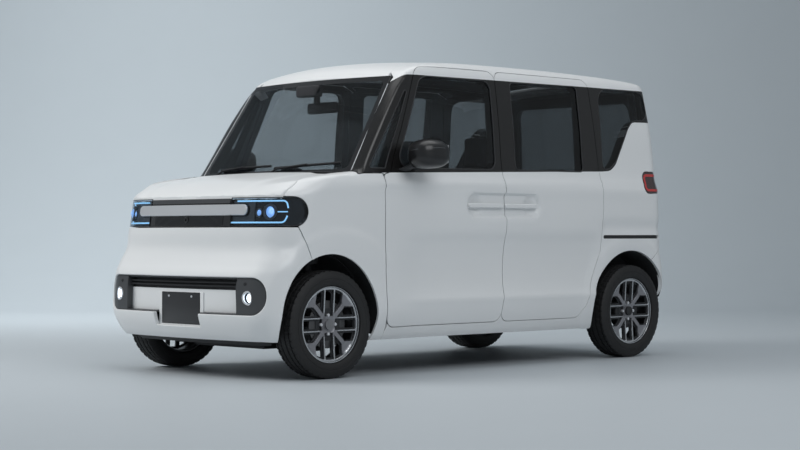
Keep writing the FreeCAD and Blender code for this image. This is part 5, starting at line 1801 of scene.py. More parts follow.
@dataclass
class Nose:
    """Front wings, bumper, lamp band with its lights, lower intake and plate."""

    sill_low: float = 0.1930
    arch_radius: float = 0.34
    band_low: float = 0.8100
    band_high: float = 0.9684
    band_end: float = 1.3733
    lip_low: float = 0.2050
    lamp_from: float = 0.350
    wing_edge: float = 0.6555

    def wing(self) -> Loop:
        """Flat outline of the left wing.

        Returns:
            Closed outline in girth and rise.
        """
        arch = SKIN.side(arc(FRONT_ARCH, self.arch_radius, -157.2, -293.9, 36))
        low = SKIN.side([
            (0.8295, 1.0985), (0.8260, 1.07), (0.8225, 0.814), (0.8055, 0.262), (0.8095, self.sill_low),
            (0.893, self.sill_low),
        ])
        middle, radius = (self.band_low + self.band_high) / 2, (self.band_high - self.band_low) / 2 + 0.002
        line = SKIN.side([(1.352, 0.6445), (1.4293, 0.8085)])
        bend = SKIN.side(arc((self.band_end + radius, middle), radius, 252, 90, 16))
        tip = self._tip(self.band_high + 0.002)
        back = girth_at(1.134, 1.05)
        top = top_edge(float(tip[-1][0]) + 0.004, back, 46, lambda p: self.wing_edge - p[:, 1], 0.975)
        rear = top_edge(back, girth_at(1.03, 1.08), 8, lambda p: 0.662 - p[:, 1], 1.02)[1:]
        foot = SKIN.side([(1.012, 1.0975), (0.840, 1.1015)])
        return np.vstack([low, arch, line, bend, tip, top, rear, foot])

    def _tip(self, height: float) -> Loop:
        """Points along a level from the lamp's end to the bonnet's edge."""
        girths = np.linspace(girth_at(1.46, height), 0.30, 200)
        line = np.stack([girths, np.full(200, height)], 1)
        return line[SKIN.at(line)[:, 1] > self.wing_edge][::6]

    def bumper(self) -> Loop:
        """Flat outline of the whole bumper.

        Returns:
            Closed outline in girth and rise.
        """
        low = SKIN.side([(1.526, self.lip_low)])
        arch = SKIN.side(arc(FRONT_ARCH, self.arch_radius, -20.7, 66.5, 26))
        line = SKIN.side([(1.3560, 0.6455), (1.4335, 0.8060)])
        left = np.vstack([low, arch[1:], line])
        return np.vstack([left, mirrored(left)])

    def build(self) -> None:
        """All pieces of the nose."""
        folds = fold_lines(0.40, girth_at(0.99, 1.08))
        wing = slab("wing_shell_left", self.wing(), [], Sheet(on_skin, (PEARL, LINER), lines=folds))
        pair(wing, "wing_shell", "body_paint", "fenders")
        mouth = SKIN.nose_arc(dense(stadium((-0.690, 0.345), (0.690, 0.545)), 0.03))
        well = self.level_band(0.274, 0.360, 0.194, 0.006)
        cover = Sheet(on_skin, (PEARL, LINER), thick=0.022, bevel=0.003)
        shell = slab("bumper_shell", self.bumper(), [mouth, well], cover)
        dress(shell, "body", "body_paint", replaces=("front_bumper",))
        self._intake(mouth, well)
        self._lining("front", FRONT_ARCH, (self.arch_radius + 0.010, self.arch_radius + 0.015), 0.585)
        self._lining("rear", REAR_ARCH, (0.3585, 0.3545), 0.560)
        self._lamps()
        self._plate()

    @staticmethod
    def _lining(where: str, centre: tuple[float, float], radii: tuple[float, float], inner: float) -> None:
        """Dark linings round the wheel openings of one axle.

        Args:
            where: The axle in words.
            centre: Middle of the opening.
            radii: Radius of each face.
            inner: Inner end across the car.
        """
        section = np.vstack([arc(centre, radii[0], -10, 190, 60), arc(centre, radii[1], 190, -10, 60)])
        count = len(section)
        edge = SKIN.at(np.vstack([SKIN.side([(x, max(z, 0.27))]) for x, z in section]), 0.016)[:, 1]
        outer = np.maximum(edge, inner + 0.01)
        points = [(x, inner, z) for x, z in section] + [(x, y, z) for (x, z), y in zip(section, outer)]
        faces = around(2, count, closed=False)
        for first, last in ((0, count - 1), (count, 2 * count - 1)):
            faces += [(first + k, first + k + 1, last - 1 - k, last - k) for k in range(count // 2 - 1)]
        lining = outward(mesh_piece(f"arch_lining_{where}_left", np.array(points), faces))
        sharpen(lining, 40)
        pair(coat(lining, LINER), f"arch_lining_{where}", "floor_metal")

    @staticmethod
    def level_band(low: float, high: float, half: float, radius: float) -> Loop:
        """Flat rounded box across the nose.

        Args:
            low: Lower height.
            high: Upper height.
            half: Its end across the car.
            radius: Corner radius.

        Returns:
            Closed outline.
        """
        return rounded(SKIN.nose_loop(level_box((half, low), (half, high))), radius)

    def _intake(self, mouth: Loop, well: Loop) -> None:
        """Slot, lower panel and fog lamps inside the lower intake.

        Args:
            mouth: Flat outline of the intake.
            well: Flat outline of the plate's recess.
        """
        back = patch("intake_back", grown(mouth, 0.004), MESH_BLACK, 0.050, 0.010, 0.030)
        rim = [grown(mouth, -0.006), grown(well, 0.004)]
        edge = patch("intake_edge", grown(mouth, 0.002), TRIM_GREY, 0.010, 0.042, 0.020, rim)
        bars = [
            patch(
                "intake_bar", self.level_band(height - 0.004, height + 0.004, 0.50, 0.003), MATT_BLACK,
                0.030, 0.014, 0.030, bevel_width=0,
            )
            for height in (0.500, 0.520)
        ]
        dress(join("intake_grille", [back, edge] + bars), "body", "black_trim")
        face = self.level_band(0.336, 0.478, 0.484, 0.01)
        panel = patch("intake_panel", face, PEARL, 0.0445, 0.010, 0.020, bevel_width=0.003)
        board = coat(box_piece("plate_board", (1.640, -0.197, 0.266), (1.6555, 0.197, 0.459), 0.003), PEARL)
        skirt = patch("bumper_skirt", self.level_band(0.158, 0.212, 0.60, 0.012), MATT_BLACK, 0.030, 0.014, 0.030)
        dress(join("intake_panel", [panel, board, skirt]), "body", "body_paint")
        for side in Side:
            self._fog_lamp(side, mouth)

    def _fog_lamp(self, side: Side, mouth: Loop) -> None:
        """Pod in one end of the intake with its fog lamp and sensor.

        Args:
            side: Its side.
            mouth: Flat outline of the intake.
        """
        sign = side.value
        inner = float(SKIN.nose_loop([(0.482, 0.44)])[0][0]) * sign
        rest = np.array([(inner, 0.28), (inner, 0.62), (-1.4 * sign, 0.62), (-1.4 * sign, 0.28)])
        eye, watch = SKIN.nose_loop([(0.572 * sign, 0.437), (0.545 * sign, 0.512)])
        hole = ring(eye, 0.034)
        parts = [
            patch("fog_pod", grown(mouth, -0.0065), TRIM_GREY, 0.010, 0.038, 0.012, [hole, rest], 0.004),
            patch("fog_bezel", grown(hole, 0.004), SATIN_SILVER, 0.006, 0.012, 0.008, [ring(eye, 0.029)]),
            patch("fog_base", ring(eye, 0.033), GLOSS_BLACK, 0.034, 0.006, 0.012),
            patch("fog_sensor", ring(watch, 0.009, 16), MATT_BLACK, 0.007, 0.010, 0.006),
        ]
        dress(join(f"fog_pod_{side.word}", parts), "body", "black_trim")
        self._bulb(f"fog_lens_{side.word}", eye, 0.026, 0.025, WHITE_LIGHT)

    @staticmethod
    def _bulb(name: str, eye: np.ndarray, depth: float, radius: float, finish: Finish) -> None:
        """Round lens that faces forward.

        Args:
            name: Its name.
            eye: Flat place of its middle.
            depth: Depth of its middle.
            radius: Its radius.
            finish: Its finish.
        """
        lens = primitive(
            bpy.ops.mesh.primitive_uv_sphere_add, name, segments=32, ring_count=16, radius=radius,
            location=on_skin(eye[None], depth)[0], scale=(0.5, 1, 1),
        )
        sharpen(lens, 60)
        dress(lens, "body", "lamp_clear", finish)

    def _lamps(self) -> None:
        """Black band with the headlamps, the silver bar and the light lines."""
        left = SKIN.side(arc((self.band_end + 0.0772, 0.8892), 0.0772, 100, 260, 18))
        split = float(SKIN.nose_loop([(self.lamp_from, 0.889)])[0][0])
        low, high = self.band_low + 0.002, self.band_high - 0.002
        eye = np.array([0.0, 0.848])
        parts = [
            patch("grille_band", np.array(level_box((split, low), (split, high))), GLOSS_BLACK, 0.006, 0.030, 0.020),
            patch("grille_mesh", self.level_band(0.818, 0.866, 0.300, 0.004), MESH_BLACK, 0.004, 0.006, 0.020),
            patch("grille_brow", self.level_band(0.936, 0.960, 0.344, 0.004), TRIM_GREY, 0.002, 0.010, 0.020),
            patch("grille_camera", ring(eye, 0.017, 20), GLOSS_BLACK, -0.001, 0.012, 0.008, [ring(eye, 0.008, 16)]),
        ]
        dress(join("grille_band", parts), "body", "black_trim", replaces=("grille",))
        bar_line = self.level_band(0.871, 0.929, 0.474, 0.026)
        bar = patch("silver_bar", bar_line, SATIN_SILVER, -0.001, 0.014, 0.014, bevel_width=0.004)
        dress(bar, "body", "black_trim")
        for side in Side:
            line = np.vstack([left, [(split + 0.002, low), (split + 0.002, high)]]) * (side.value, 1)
            name = f"headlamp_house_{side.word}"
            house = patch(name, grown(line, -0.001), GLOSS_BLACK, 0.022, 0.022, 0.016)
            rim = patch("headlamp_rim", line, GLOSS_BLACK, 0.001, 0.026, 0.012, [grown(line, -0.004)])
            self._guides(side)
            dress(join(name, [house, rim]), "body", "lamp_clear", replaces=("headlamps",))
            cover = patch(f"headlamp_cover_{side.word}", grown(line, -0.004), LAMP_COVER, 0.002, 0.003, 0.016)
            dress(cover, "body", "lamp_clear")

    def _guides(self, side: Side) -> None:
        """Bezel, light lines and lenses of one headlamp.

        Args:
            side: Its side.
        """
        word, sign = side.word, side.value

        def line(points: Sequence[Sequence[float]], corner: float, closed: bool = True) -> Loop:
            """Flat line across the nose on this side."""
            return rounded(SKIN.nose_loop(points) * (sign, 1), corner, closed)

        lights = [
            strip("guide", line(points, corner, False), 0.012, radius, closed=False)
            for points, radius, corner in (
                ([(0.392, 0.947), (0.676, 0.947), (0.684, 0.908)], 0.0042, 0.035),
                ([(0.356, 0.833), (0.676, 0.833), (0.684, 0.868)], 0.0042, 0.035),
                ([(0.646, 0.889), (0.684, 0.889)], 0.0030, 0.0),
            )
        ]
        outer = line([(0.362, 0.824), (0.362, 0.956), (0.520, 0.956), (0.520, 0.824)], 0.012)
        gap = line([(0.20, 0.866), (0.20, 0.934), (0.484, 0.934), (0.484, 0.866)], 0.028)
        bezel = patch(f"lamp_bezel_{word}", outer, TRIM_GREY, 0.014, 0.010, 0.014, [gap], 0.003)
        dress(bezel, "body", "lamp_clear")
        dress(join(f"light_lines_{word}", lights), "body", "lamp_clear", ICE_LIGHT)
        eye, second = SKIN.nose_loop([(0.610, 0.889), (0.548, 0.885)]) * (sign, 1)
        bowl = patch("lens_bowl", ring(eye, 0.043), TRIM_GREY, 0.010, 0.014, 0.009, [ring(eye, 0.031)])
        hood = patch("lens_hood", ring(second, 0.024), TRIM_GREY, 0.012, 0.012, 0.008, [ring(second, 0.017)])
        dress(join(f"lens_rings_{word}", [bowl, hood]), "body", "lamp_clear")
        self._bulb(f"main_lens_{word}", eye, 0.020, 0.030, BLUE_LENS)
        self._bulb(f"side_lens_{word}", second, 0.020, 0.017, BLUE_LENS)

    @staticmethod
    def _plate() -> None:
        """Blank plate in its frame."""
        low, high = (np.array(corner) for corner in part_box("front_plate"))
        outer = (low[0] + 0.001, high[1] + 0.004, high[2] + 0.004)
        parts = [
            coat(box_piece("front_plate_board", low, high, 0.0012), PLATE),
            coat(box_piece("plate_rim", low - (0.006, 0.004, 0.004), outer, 0.003), MATT_BLACK),
        ]
        for y in (-0.10, 0.10):
            bolt = primitive(
                bpy.ops.mesh.primitive_cylinder_add, "plate_bolt", vertices=20, radius=0.0065, depth=0.004,
                location=(high[0] + 0.001, y, high[2] - 0.018), rotation=(0, math.pi / 2, 0),
            )
            bevel(bolt, 0.001)
            parts.append(coat(bolt, SATIN_SILVER))
        dress(join("front_plate_board", parts), "body", "plate_face", replaces=("front_plate",))


@dataclass
class RearBumper:
    """Rear bumper across the tail."""

    arch_radius: float = 0.36
    dark_below: float = 0.300

    def build(self) -> None:
        """Bumper with reflectors and a dark lower edge."""
        arch = SKIN.side(arc(REAR_ARCH, self.arch_radius, 198.0, 123.6, 26))
        line = SKIN.side([(-1.508, 0.6065), (-1.6126, 0.7010)])
        gate = SKIN.tail_loop([(0.604, 0.7010), (0.579, 0.556)])
        left = np.vstack([arch[1:], line, gate])
        right = mirrored(left, SKIN.ends[-1])
        level = self.dark_below
        cover = Sheet(
            on_skin, (PEARL, MATT_BLACK, LINER), thick=0.024, step=0.02, bevel=0.003,
            lines=[np.array([(left[0][0] - 0.2, level), (right[-1][0] + 0.2, level)])],
            pick=lambda flat: (flat[:, 1] < level).astype(int),
        )
        bumper = slab("rear_bumper_shell", np.vstack([left, right]), [], cover)
        dress(bumper, "body", "body_paint", replaces=("rear_bumper",))
        corners = ((0.52, 0.430), (0.52, 0.462), (0.36, 0.462), (0.36, 0.430))
        for side in Side:
            ends = np.array([SKIN.tail_loop([place])[0] for place in corners])
            if side is Side.RIGHT:
                ends[:, 0] = 2 * SKIN.ends[-1] - ends[:, 0]
            lens = patch(f"reflector_{side.word}", rounded(ends, 0.012), RED_LENS, -0.0005, 0.006, 0.020)
            dress(lens, "body", "lamp_red")


@dataclass
class Screen:
    """Windscreen with its dark border, pillar trims, sensor box, cabin mirror and wipers."""

    foot: tuple[float, float] = (0.640, 1.099)
    head: tuple[float, float] = (0.588, 1.656)

    def build(self) -> None:
        """All pieces at the windscreen."""
        corners = level_box(self.foot, self.head)
        clear = grown(rounded(corners, CORNER), -0.028)
        cover = Sheet(
            on_screen, (GLOSS_BLACK, CLEAR), top=0.002, thick=0.005, step=0.03,
            lines=[looped(clear)], pick=lambda flat: inside(flat, clear).astype(int),
        )
        glass = slab("windscreen_pane", rounded(corners, 0.006), [], cover)
        dress(glass, "body", "clear_glass", replaces=("windscreen",))
        trims = []
        for side in Side:
            line = [(side.value * (0.6445 - 0.052 * t), 1.105 + 0.555 * t) for t in np.linspace(0, 0.905, 40)]
            trims.append(tube("pillar_trim", on_screen(np.array(line), -0.001), 0.0022))
        dress(join("pillar_trims", trims), "body", "black_trim", SATIN_SILVER)
        sensor = box_piece("screen_sensor", (0.700, -0.085, 1.560), (0.765, 0.085, 1.625), 0.012)
        stem = box_piece("mirror_stem", (0.655, -0.012, 1.520), (0.690, 0.012, 1.600), 0.006)
        mirror = box_piece("cabin_mirror", (0.610, -0.125, 1.470), (0.645, 0.125, 1.535), 0.016, 4)
        dress(join("screen_sensor", [sensor, stem, mirror]), "body", "dash_plastic", CABIN_TRIM)
        self._wipers()

    @staticmethod
    def _wipers() -> None:
        """Arms, blades and pivots of both wipers."""
        parts = []
        for shares in (
            ((-0.58, 0.6340), (-0.26, 0.6390), (0.06, 0.6415)), ((0.12, 0.6340), (0.46, 0.6400), (0.76, 0.6450)),
        ):
            flat = scaled(shares, HALF_WIDE)
            start = flat[0]
            bend = [(start[0] - 0.02, start[1] - 0.040), (start[0] + 0.03, start[1] - 0.010), tuple(flat[1])]
            for name, line, depth, radius in (
                ("wiper_blade", flat, -0.010, 0.0065),
                ("wiper_lip", flat, -0.003, 0.0028),
                ("wiper_arm", rounded(bend, 0.05, closed=False), -0.018, 0.0060),
            ):
                parts.append(strip(name, line, depth, radius, closed=False, place=on_screen, step=0.02))
            knob = primitive(
                bpy.ops.mesh.primitive_cone_add, "wiper_pivot", vertices=24, radius1=0.016, radius2=0.010, depth=0.022,
                location=on_screen(np.array(bend[:1]), -0.010)[0], rotation=(0, math.radians(56), 0),
            )
            bevel(knob, 0.003)
            parts.append(knob)
        dress(join("wiper_set", parts), "body", "black_trim", MATT_BLACK, replaces=("wipers",))


@dataclass
class Mirrors:
    """Door mirrors, each a two-part shell on a foot."""

    centre: tuple[float, float, float] = (0.588, 0.832, 1.212)
    half: tuple[float, float, float] = (0.116, 0.095, 0.080)
    power: float = 2.6
    flat_back: float = -0.80

    def build(self) -> None:
        """Both mirrors."""
        centre = np.array(self.centre)
        lens = box_piece("mirror_face", centre - (0.0975, 0.058, 0.049), centre + (-0.0925, 0.060, 0.049), 0.002)
        parts = [
            coat(self._shell(), MIRROR_BLACK), coat(self._seam(), TRIM_GREY), coat(self._foot(), MATT_BLACK),
            coat(lens, MIRROR_GLASS),
        ]
        left = join("mirror_shell_left", parts)
        for piece, word in ((left, "left"), (mirror_piece(left, "mirror_shell_right"), "right")):
            dress(piece, f"door_{word}", "black_trim", replaces=(f"mirror_{word}",))

    def _shell(self) -> bpy.types.Object:
        """Rounded shell, flat at its back.

        Returns:
            The shell.
        """
        shell = primitive(bpy.ops.mesh.primitive_cube_add, "mirror_shell", size=2)
        modify(shell, "SUBSURF", levels=4, render_levels=4)
        spots = np.array([v.co for v in shell.data.vertices])
        spots /= np.maximum(np.abs(spots).max(), 1e-9)
        size = np.sum(np.abs(spots) ** self.power, axis=1) ** (1 / self.power)
        x, y, z = (spots / size[:, None]).T
        half = self.half
        moved = np.stack([
            np.maximum(x, self.flat_back) * half[0],
            y * half[1] * (1 - 0.10 * np.clip(z, -1, 0)),
            z * half[2] - 0.10 * half[2] * np.clip(-y, 0, 1) * (z < 0),
        ], 1) + self.centre
        shell.data.vertices.foreach_set("co", moved.astype(np.float32).ravel())
        shell.data.update()
        sharpen(shell, 50)
        return shell

    def _seam(self) -> bpy.types.Object:
        """Thin band round the shell between its halves.

        Returns:
            The band.
        """
        a = np.linspace(-1.9, 1.9, 40)
        line = np.stack([
            1.001 * self.half[0] * np.maximum(np.cos(a), self.flat_back), 1.001 * self.half[1] * np.sin(a),
            0.018 + 0.012 * np.sin(a),
        ], 1)
        return tube("mirror_seam", line + self.centre, 0.0022)

    @staticmethod
    def _foot() -> bpy.types.Object:
        """Arm from the door's waist to the mirror's shell.

        Returns:
            The arm.
        """
        stations = (
            (0.700, 1.124, 0.052, 0.011), (0.722, 1.132, 0.044, 0.010), (0.755, 1.142, 0.034, 0.012),
            (0.790, 1.155, 0.032, 0.020),
        )
        angles = np.linspace(0, 2 * math.pi, 24, endpoint=False)
        points = [
            (0.650 + wide * math.cos(a), y, z + tall * math.sin(a)) for y, z, wide, tall in stations for a in angles
        ]
        faces = around(len(stations), 24, closed=False)
        faces += [tuple(range(24))[::-1], tuple(range(len(points) - 24, len(points)))]
        obj = outward(mesh_piece("mirror_foot", np.array(points), faces))
        sharpen(obj, 50)
        return obj


# ---------------------------------------------------------------- wheels
def quarter_turns() -> list[np.ndarray]:
    """Turns by quarters of a circle, for a row of flat points."""
    angles = [math.pi / 2 * turn for turn in range(4)]
    return [np.array([(math.cos(a), math.sin(a)), (-math.sin(a), math.cos(a))]) for a in angles]


@dataclass
class Wheel:
    """Tyre with its tread, alloy rim and brake."""

    radius: float = 0.289
    width: float = 0.165
    rim: float = 0.205
    track: float = 0.640
    front_axle: float = 1.199
    rear_axle: float = -1.321
    steps: int = 360
    pitch: int = 8
    groove: float = 0.007
    sipe: float = 0.0035

    def build(self) -> None:
        """All four wheels."""
        models = {"tread": self._tyre(), "alloy": self._alloy()}
        for axle, where in ((self.front_axle, "front"), (self.rear_axle, "rear")):
            models["brake"] = self._disc() if where == "front" else self._drum()
            for side in Side:
                end = f"{where}_{side.word}"
                for stem, slot, nodes in (
                    ("tread", "tyre_rubber", (f"tyre_{end}",)), ("alloy", "rim_alloy", (f"rim_{end}",)),
                    ("brake", "rim_alloy", ()),
                ):
                    mesh = models[stem].data.copy()
                    if side is Side.RIGHT:
                        mesh.transform(Matrix.Scale(-1, 4, (0, 1, 0)))
                        mesh.flip_normals()
                    mesh.transform(Matrix.Translation((axle, self.track * side.value, self.radius)))
                    mesh.name = f"{stem}_{end}"
                    dress(linked(f"{stem}_{end}", mesh), f"wheel_{end}", slot, replaces=nodes)
            bpy.data.objects.remove(models["brake"])
        for stem in ("tread", "alloy"):
            bpy.data.objects.remove(models[stem])

    def _profile(self) -> tuple[np.ndarray, int, int]:
        """Section of the tyre.

        Returns:
            Points across and out, and the first and the last point of the tread.
        """
        side = [
            (self.width / 2 - inset, self.rim + out)
            for inset, out in (
                (0.016, 0.001), (0.006, 0.004), (0.001, 0.014), (0.0, 0.024), (0.0, 0.034), (0.0015, 0.035),
                (0.0015, 0.042), (0.0005, 0.043), (0.002, 0.054), (0.006, 0.066), (0.011, 0.075),
            )
        ]
        ys = [0.068, 0.064, 0.0565, 0.0555, 0.0485, 0.0475, 0.030, 0.0235, 0.0225, 0.0155, 0.0145, 0.004]
        tread = []
        for y in ys + [-v for v in reversed(ys)]:
            deep = any(abs(abs(y) - centre) < 0.0035 + 1e-6 for centre in (0.052, 0.019))
            tread.append((y, self.radius - 0.0035 * (abs(y) / 0.070) ** 2.5 - (self.groove if deep else 0.0)))
        profile = side + tread + [(-y, r) for y, r in reversed(side)]
        return np.array(profile), len(side), len(side) + len(tread)

    def _cut(self, k: int, y: float) -> float:
        """Depth of the cross cuts of the tread.

        Args:
            k: Step round the tyre.
            y: Place across.

        Returns:
            The depth.
        """
        if abs(y) < 0.030:
            phase = (k + int(round(abs(y) / 0.006))) % self.pitch
            return self.sipe if phase == 0 and abs(y) > 0.012 else 0.0
        phase = (k + (0 if y > 0 else self.pitch // 2)) % self.pitch
        share = 0.35 if abs(y) > 0.0715 else 1.0
        return self.sipe * share if phase in (0, 1) else 0.0

    def _tyre(self) -> bpy.types.Object:
        """Tyre about the origin with grooves and blocks.

        Returns:
            The tyre.
        """
        profile, first, last = self._profile()
        ys, rs = profile.T
        points = []
        for k in range(self.steps):
            a = 2 * math.pi * k / self.steps
            r = rs.copy()
            r[first - 1:last + 1] -= [self._cut(k, y) for y in ys[first - 1:last + 1]]
            points.append(np.stack([r * math.cos(a), ys, r * math.sin(a)], 1))
        obj = mesh_piece("tyre_model", np.vstack(points), around(self.steps, len(profile)))
        face = obj.data.polygons[(first + last) // 2]
        if face.normal.x * face.center.x + face.normal.z * face.center.z < 0:
            obj.data.flip_normals()
        sharpen(obj, 28)
        return coat(obj, RUBBER)

    def _openings(self) -> list[Loop]:
        """Openings of the alloy's face, in four alike groups.

        Returns:
            Closed lines across and up.
        """
        sweep = np.radians(np.linspace(11.5, 29.4, 6))
        wide = [(0.184, 0.262), *((0.925 * math.sin(v), 0.925 * math.cos(v)) for v in sweep), (0.460, 0.540)]
        loops = [[(-0.148, 0.215), (-0.148, 0.905), (0.148, 0.905), (0.148, 0.215)]]
        loops += [[(way * p, q) for p, q in wide] for way in (1, -1)]
        return self._turned(loops)

    def _turned(self, loops: Sequence[Sequence[Sequence[float]]]) -> list[Loop]:
        """Outlines as shares of the rim's radius, rounded and set four times about the axle."""
        return [
            rounded(np.array(loop) * self.rim, 0.02 * self.rim) @ turn for turn in quarter_turns() for loop in loops
        ]

    def _bright(self, flat: np.ndarray) -> np.ndarray:
        """Second finish on the ribs and the outer ring."""
        r, low = np.linalg.norm(flat, axis=1) / self.rim, np.abs(flat).min(1) / self.rim
        return ((r > 0.915) | ((np.abs(low - 0.166) < 0.018) & (r > 0.36))).astype(int)

    def _face(self, flat: np.ndarray, depth: np.ndarray) -> np.ndarray:
        """Place on the rim's dished face.

        Args:
            flat: Places across and up.
            depth: Depth of each.

        Returns:
            Points in space.
        """
        r = np.linalg.norm(flat, axis=1) / self.rim
        angle = np.arctan2(flat[:, 1], flat[:, 0])
        wedge = smooth(np.abs(np.sin(2 * angle)), 0.86, 0.97) * smooth(r, 0.62, 0.74) * (1 - smooth(r, 0.88, 0.94))
        y = 0.0625 - 0.014 * (1 - r) - 0.006 * wedge - 0.004 * smooth(0.26 - r, 0, 0.06)
        return np.stack([flat[:, 0], y - depth, flat[:, 1]], 1)

    def _alloy(self) -> bpy.types.Object:
        """Alloy rim about the origin, its face towards plus Y.

        Returns:
            The rim.
        """
        face = Sheet(
            self._face, (RIM_GREY, RIM_BRIGHT, RIM_DARK), thick=0.012, step=0.0065, bevel=0.0010, pick=self._bright,
        )
        slots = [[(-0.105, 0.42), (-0.105, 0.86), (0.105, 0.86), (0.105, 0.42)]]
        slanted = ((0.235, 0.42), (0.235, 0.85), (0.425, 0.78), (0.425, 0.58))
        slots += [[(way * p, q) for p, q in slanted] for way in (1, -1)]
        under = Sheet(
            lambda flat, depth: self._face(flat, depth + 0.013), (RIM_DARK, RIM_DARK), thick=0.010, step=0.012, bevel=0,
        )
        parts = [
            slab("alloy_face", ring((0, 0), self.rim - 0.006, 120), self._openings(), face),
            slab("alloy_under", ring((0, 0), self.rim - 0.009, 90), self._turned(slots), under),
            lathe("alloy_barrel", (
                (0.066, 0.2035), (0.066, 0.1990), (0.052, 0.1930), (0.010, 0.1860), (-0.050, 0.1880),
                (-0.066, 0.1960), (-0.066, 0.2035), (-0.040, 0.2045), (0.040, 0.2045),
            ), 120, RIM_DARK),
            lathe("alloy_lip", (
                (0.0655, 0.1985), (0.0690, 0.2000), (0.0690, 0.2035), (0.0655, 0.2042),
            ), 120, RIM_BRIGHT),
            lathe("alloy_cap", (
                (0.0, 0.0005), (0.050, 0.0005), (0.0525, 0.018), (0.0500, 0.0245), (0.040, 0.0265), (0.0, 0.0265),
            ), 48, GLOSS_BLACK),
            lathe("alloy_hub", (
                (-0.010, 0.0010), (0.031, 0.0010), (0.031, 0.064), (0.024, 0.067), (-0.010, 0.067),
            ), 60, RIM_GREY),
            coat(tube("alloy_valve", np.array([(0.0, 0.050, 0.176), (0.0, 0.066, 0.170)]), 0.0035), MATT_BLACK),
        ]
        for k in range(4):
            a = math.radians(90 * k)
            nut = primitive(
                bpy.ops.mesh.primitive_cylinder_add, "alloy_nut", vertices=6, radius=0.0095, depth=0.016,
                location=(0.050 * math.cos(a), 0.044, 0.050 * math.sin(a)), rotation=(math.pi / 2, 0, 0),
            )
            bevel(nut, 0.002)
            parts.append(coat(nut, SATIN_SILVER))
        return join("alloy_model", parts)

    @staticmethod
    def _disc() -> bpy.types.Object:
        """Brake disc about the origin."""
        return lathe("disc", (
            (0.018, 0.060), (0.034, 0.062), (0.036, 0.066), (0.036, 0.070), (0.0380, 0.072), (0.0380, 0.126),
            (0.0370, 0.128), (0.0210, 0.128), (0.0200, 0.126), (0.0200, 0.060),
        ), 90, BRAKE_IRON)

    @staticmethod
    def _drum() -> bpy.types.Object:
        """Brake drum about the origin."""
        return lathe("drum", (
            (0.038, 0.020), (0.038, 0.098), (0.034, 0.106), (0.020, 0.110), (0.012, 0.110), (0.010, 0.107),
            (0.004, 0.107), (0.002, 0.110), (-0.017, 0.110), (-0.017, 0.020),
        ), 80, DARK_STEEL)


# ---------------------------------------------------------------- cabin
@dataclass(frozen=True)
class Seat:
    """Side outlines of a seat: along from its hip and up from the floor, as shares of half length and height."""

    node: str
    hip: float
    cushion: Sequence[tuple[float, float]]
    back: Sequence[tuple[float, float]]
    rest: Sequence[tuple[float, float]]
    base: Sequence[tuple[float, float]]


FRONT_SEAT = Seat(
    "front_seats", -0.045,
    cushion=((-0.010, 0.105), (0.286, 0.108), (0.286, 0.168), (0.0, 0.155)),
    back=((-0.085, 0.100), (0.0, 0.150), (-0.125, 0.455), (-0.205, 0.440)),
    rest=((-0.138, 0.485), (-0.140, 0.596), (-0.192, 0.596), (-0.204, 0.485)),
    base=((-0.085, 0.004), (0.170, 0.004), (0.190, 0.100), (-0.085, 0.095)),
)
REAR_SEAT = Seat(
    "rear_seat", -0.475,
    cushion=((-0.010, 0.085), (0.230, 0.088), (0.230, 0.172), (0.0, 0.160)),
    back=((-0.080, 0.110), (0.0, 0.150), (-0.105, 0.430), (-0.180, 0.430)),
    rest=((-0.122, 0.440), (-0.124, 0.498), (-0.168, 0.498), (-0.184, 0.440)),
    base=((-0.070, 0.004), (0.190, 0.004), (0.220, 0.080), (-0.080, 0.085)),
)


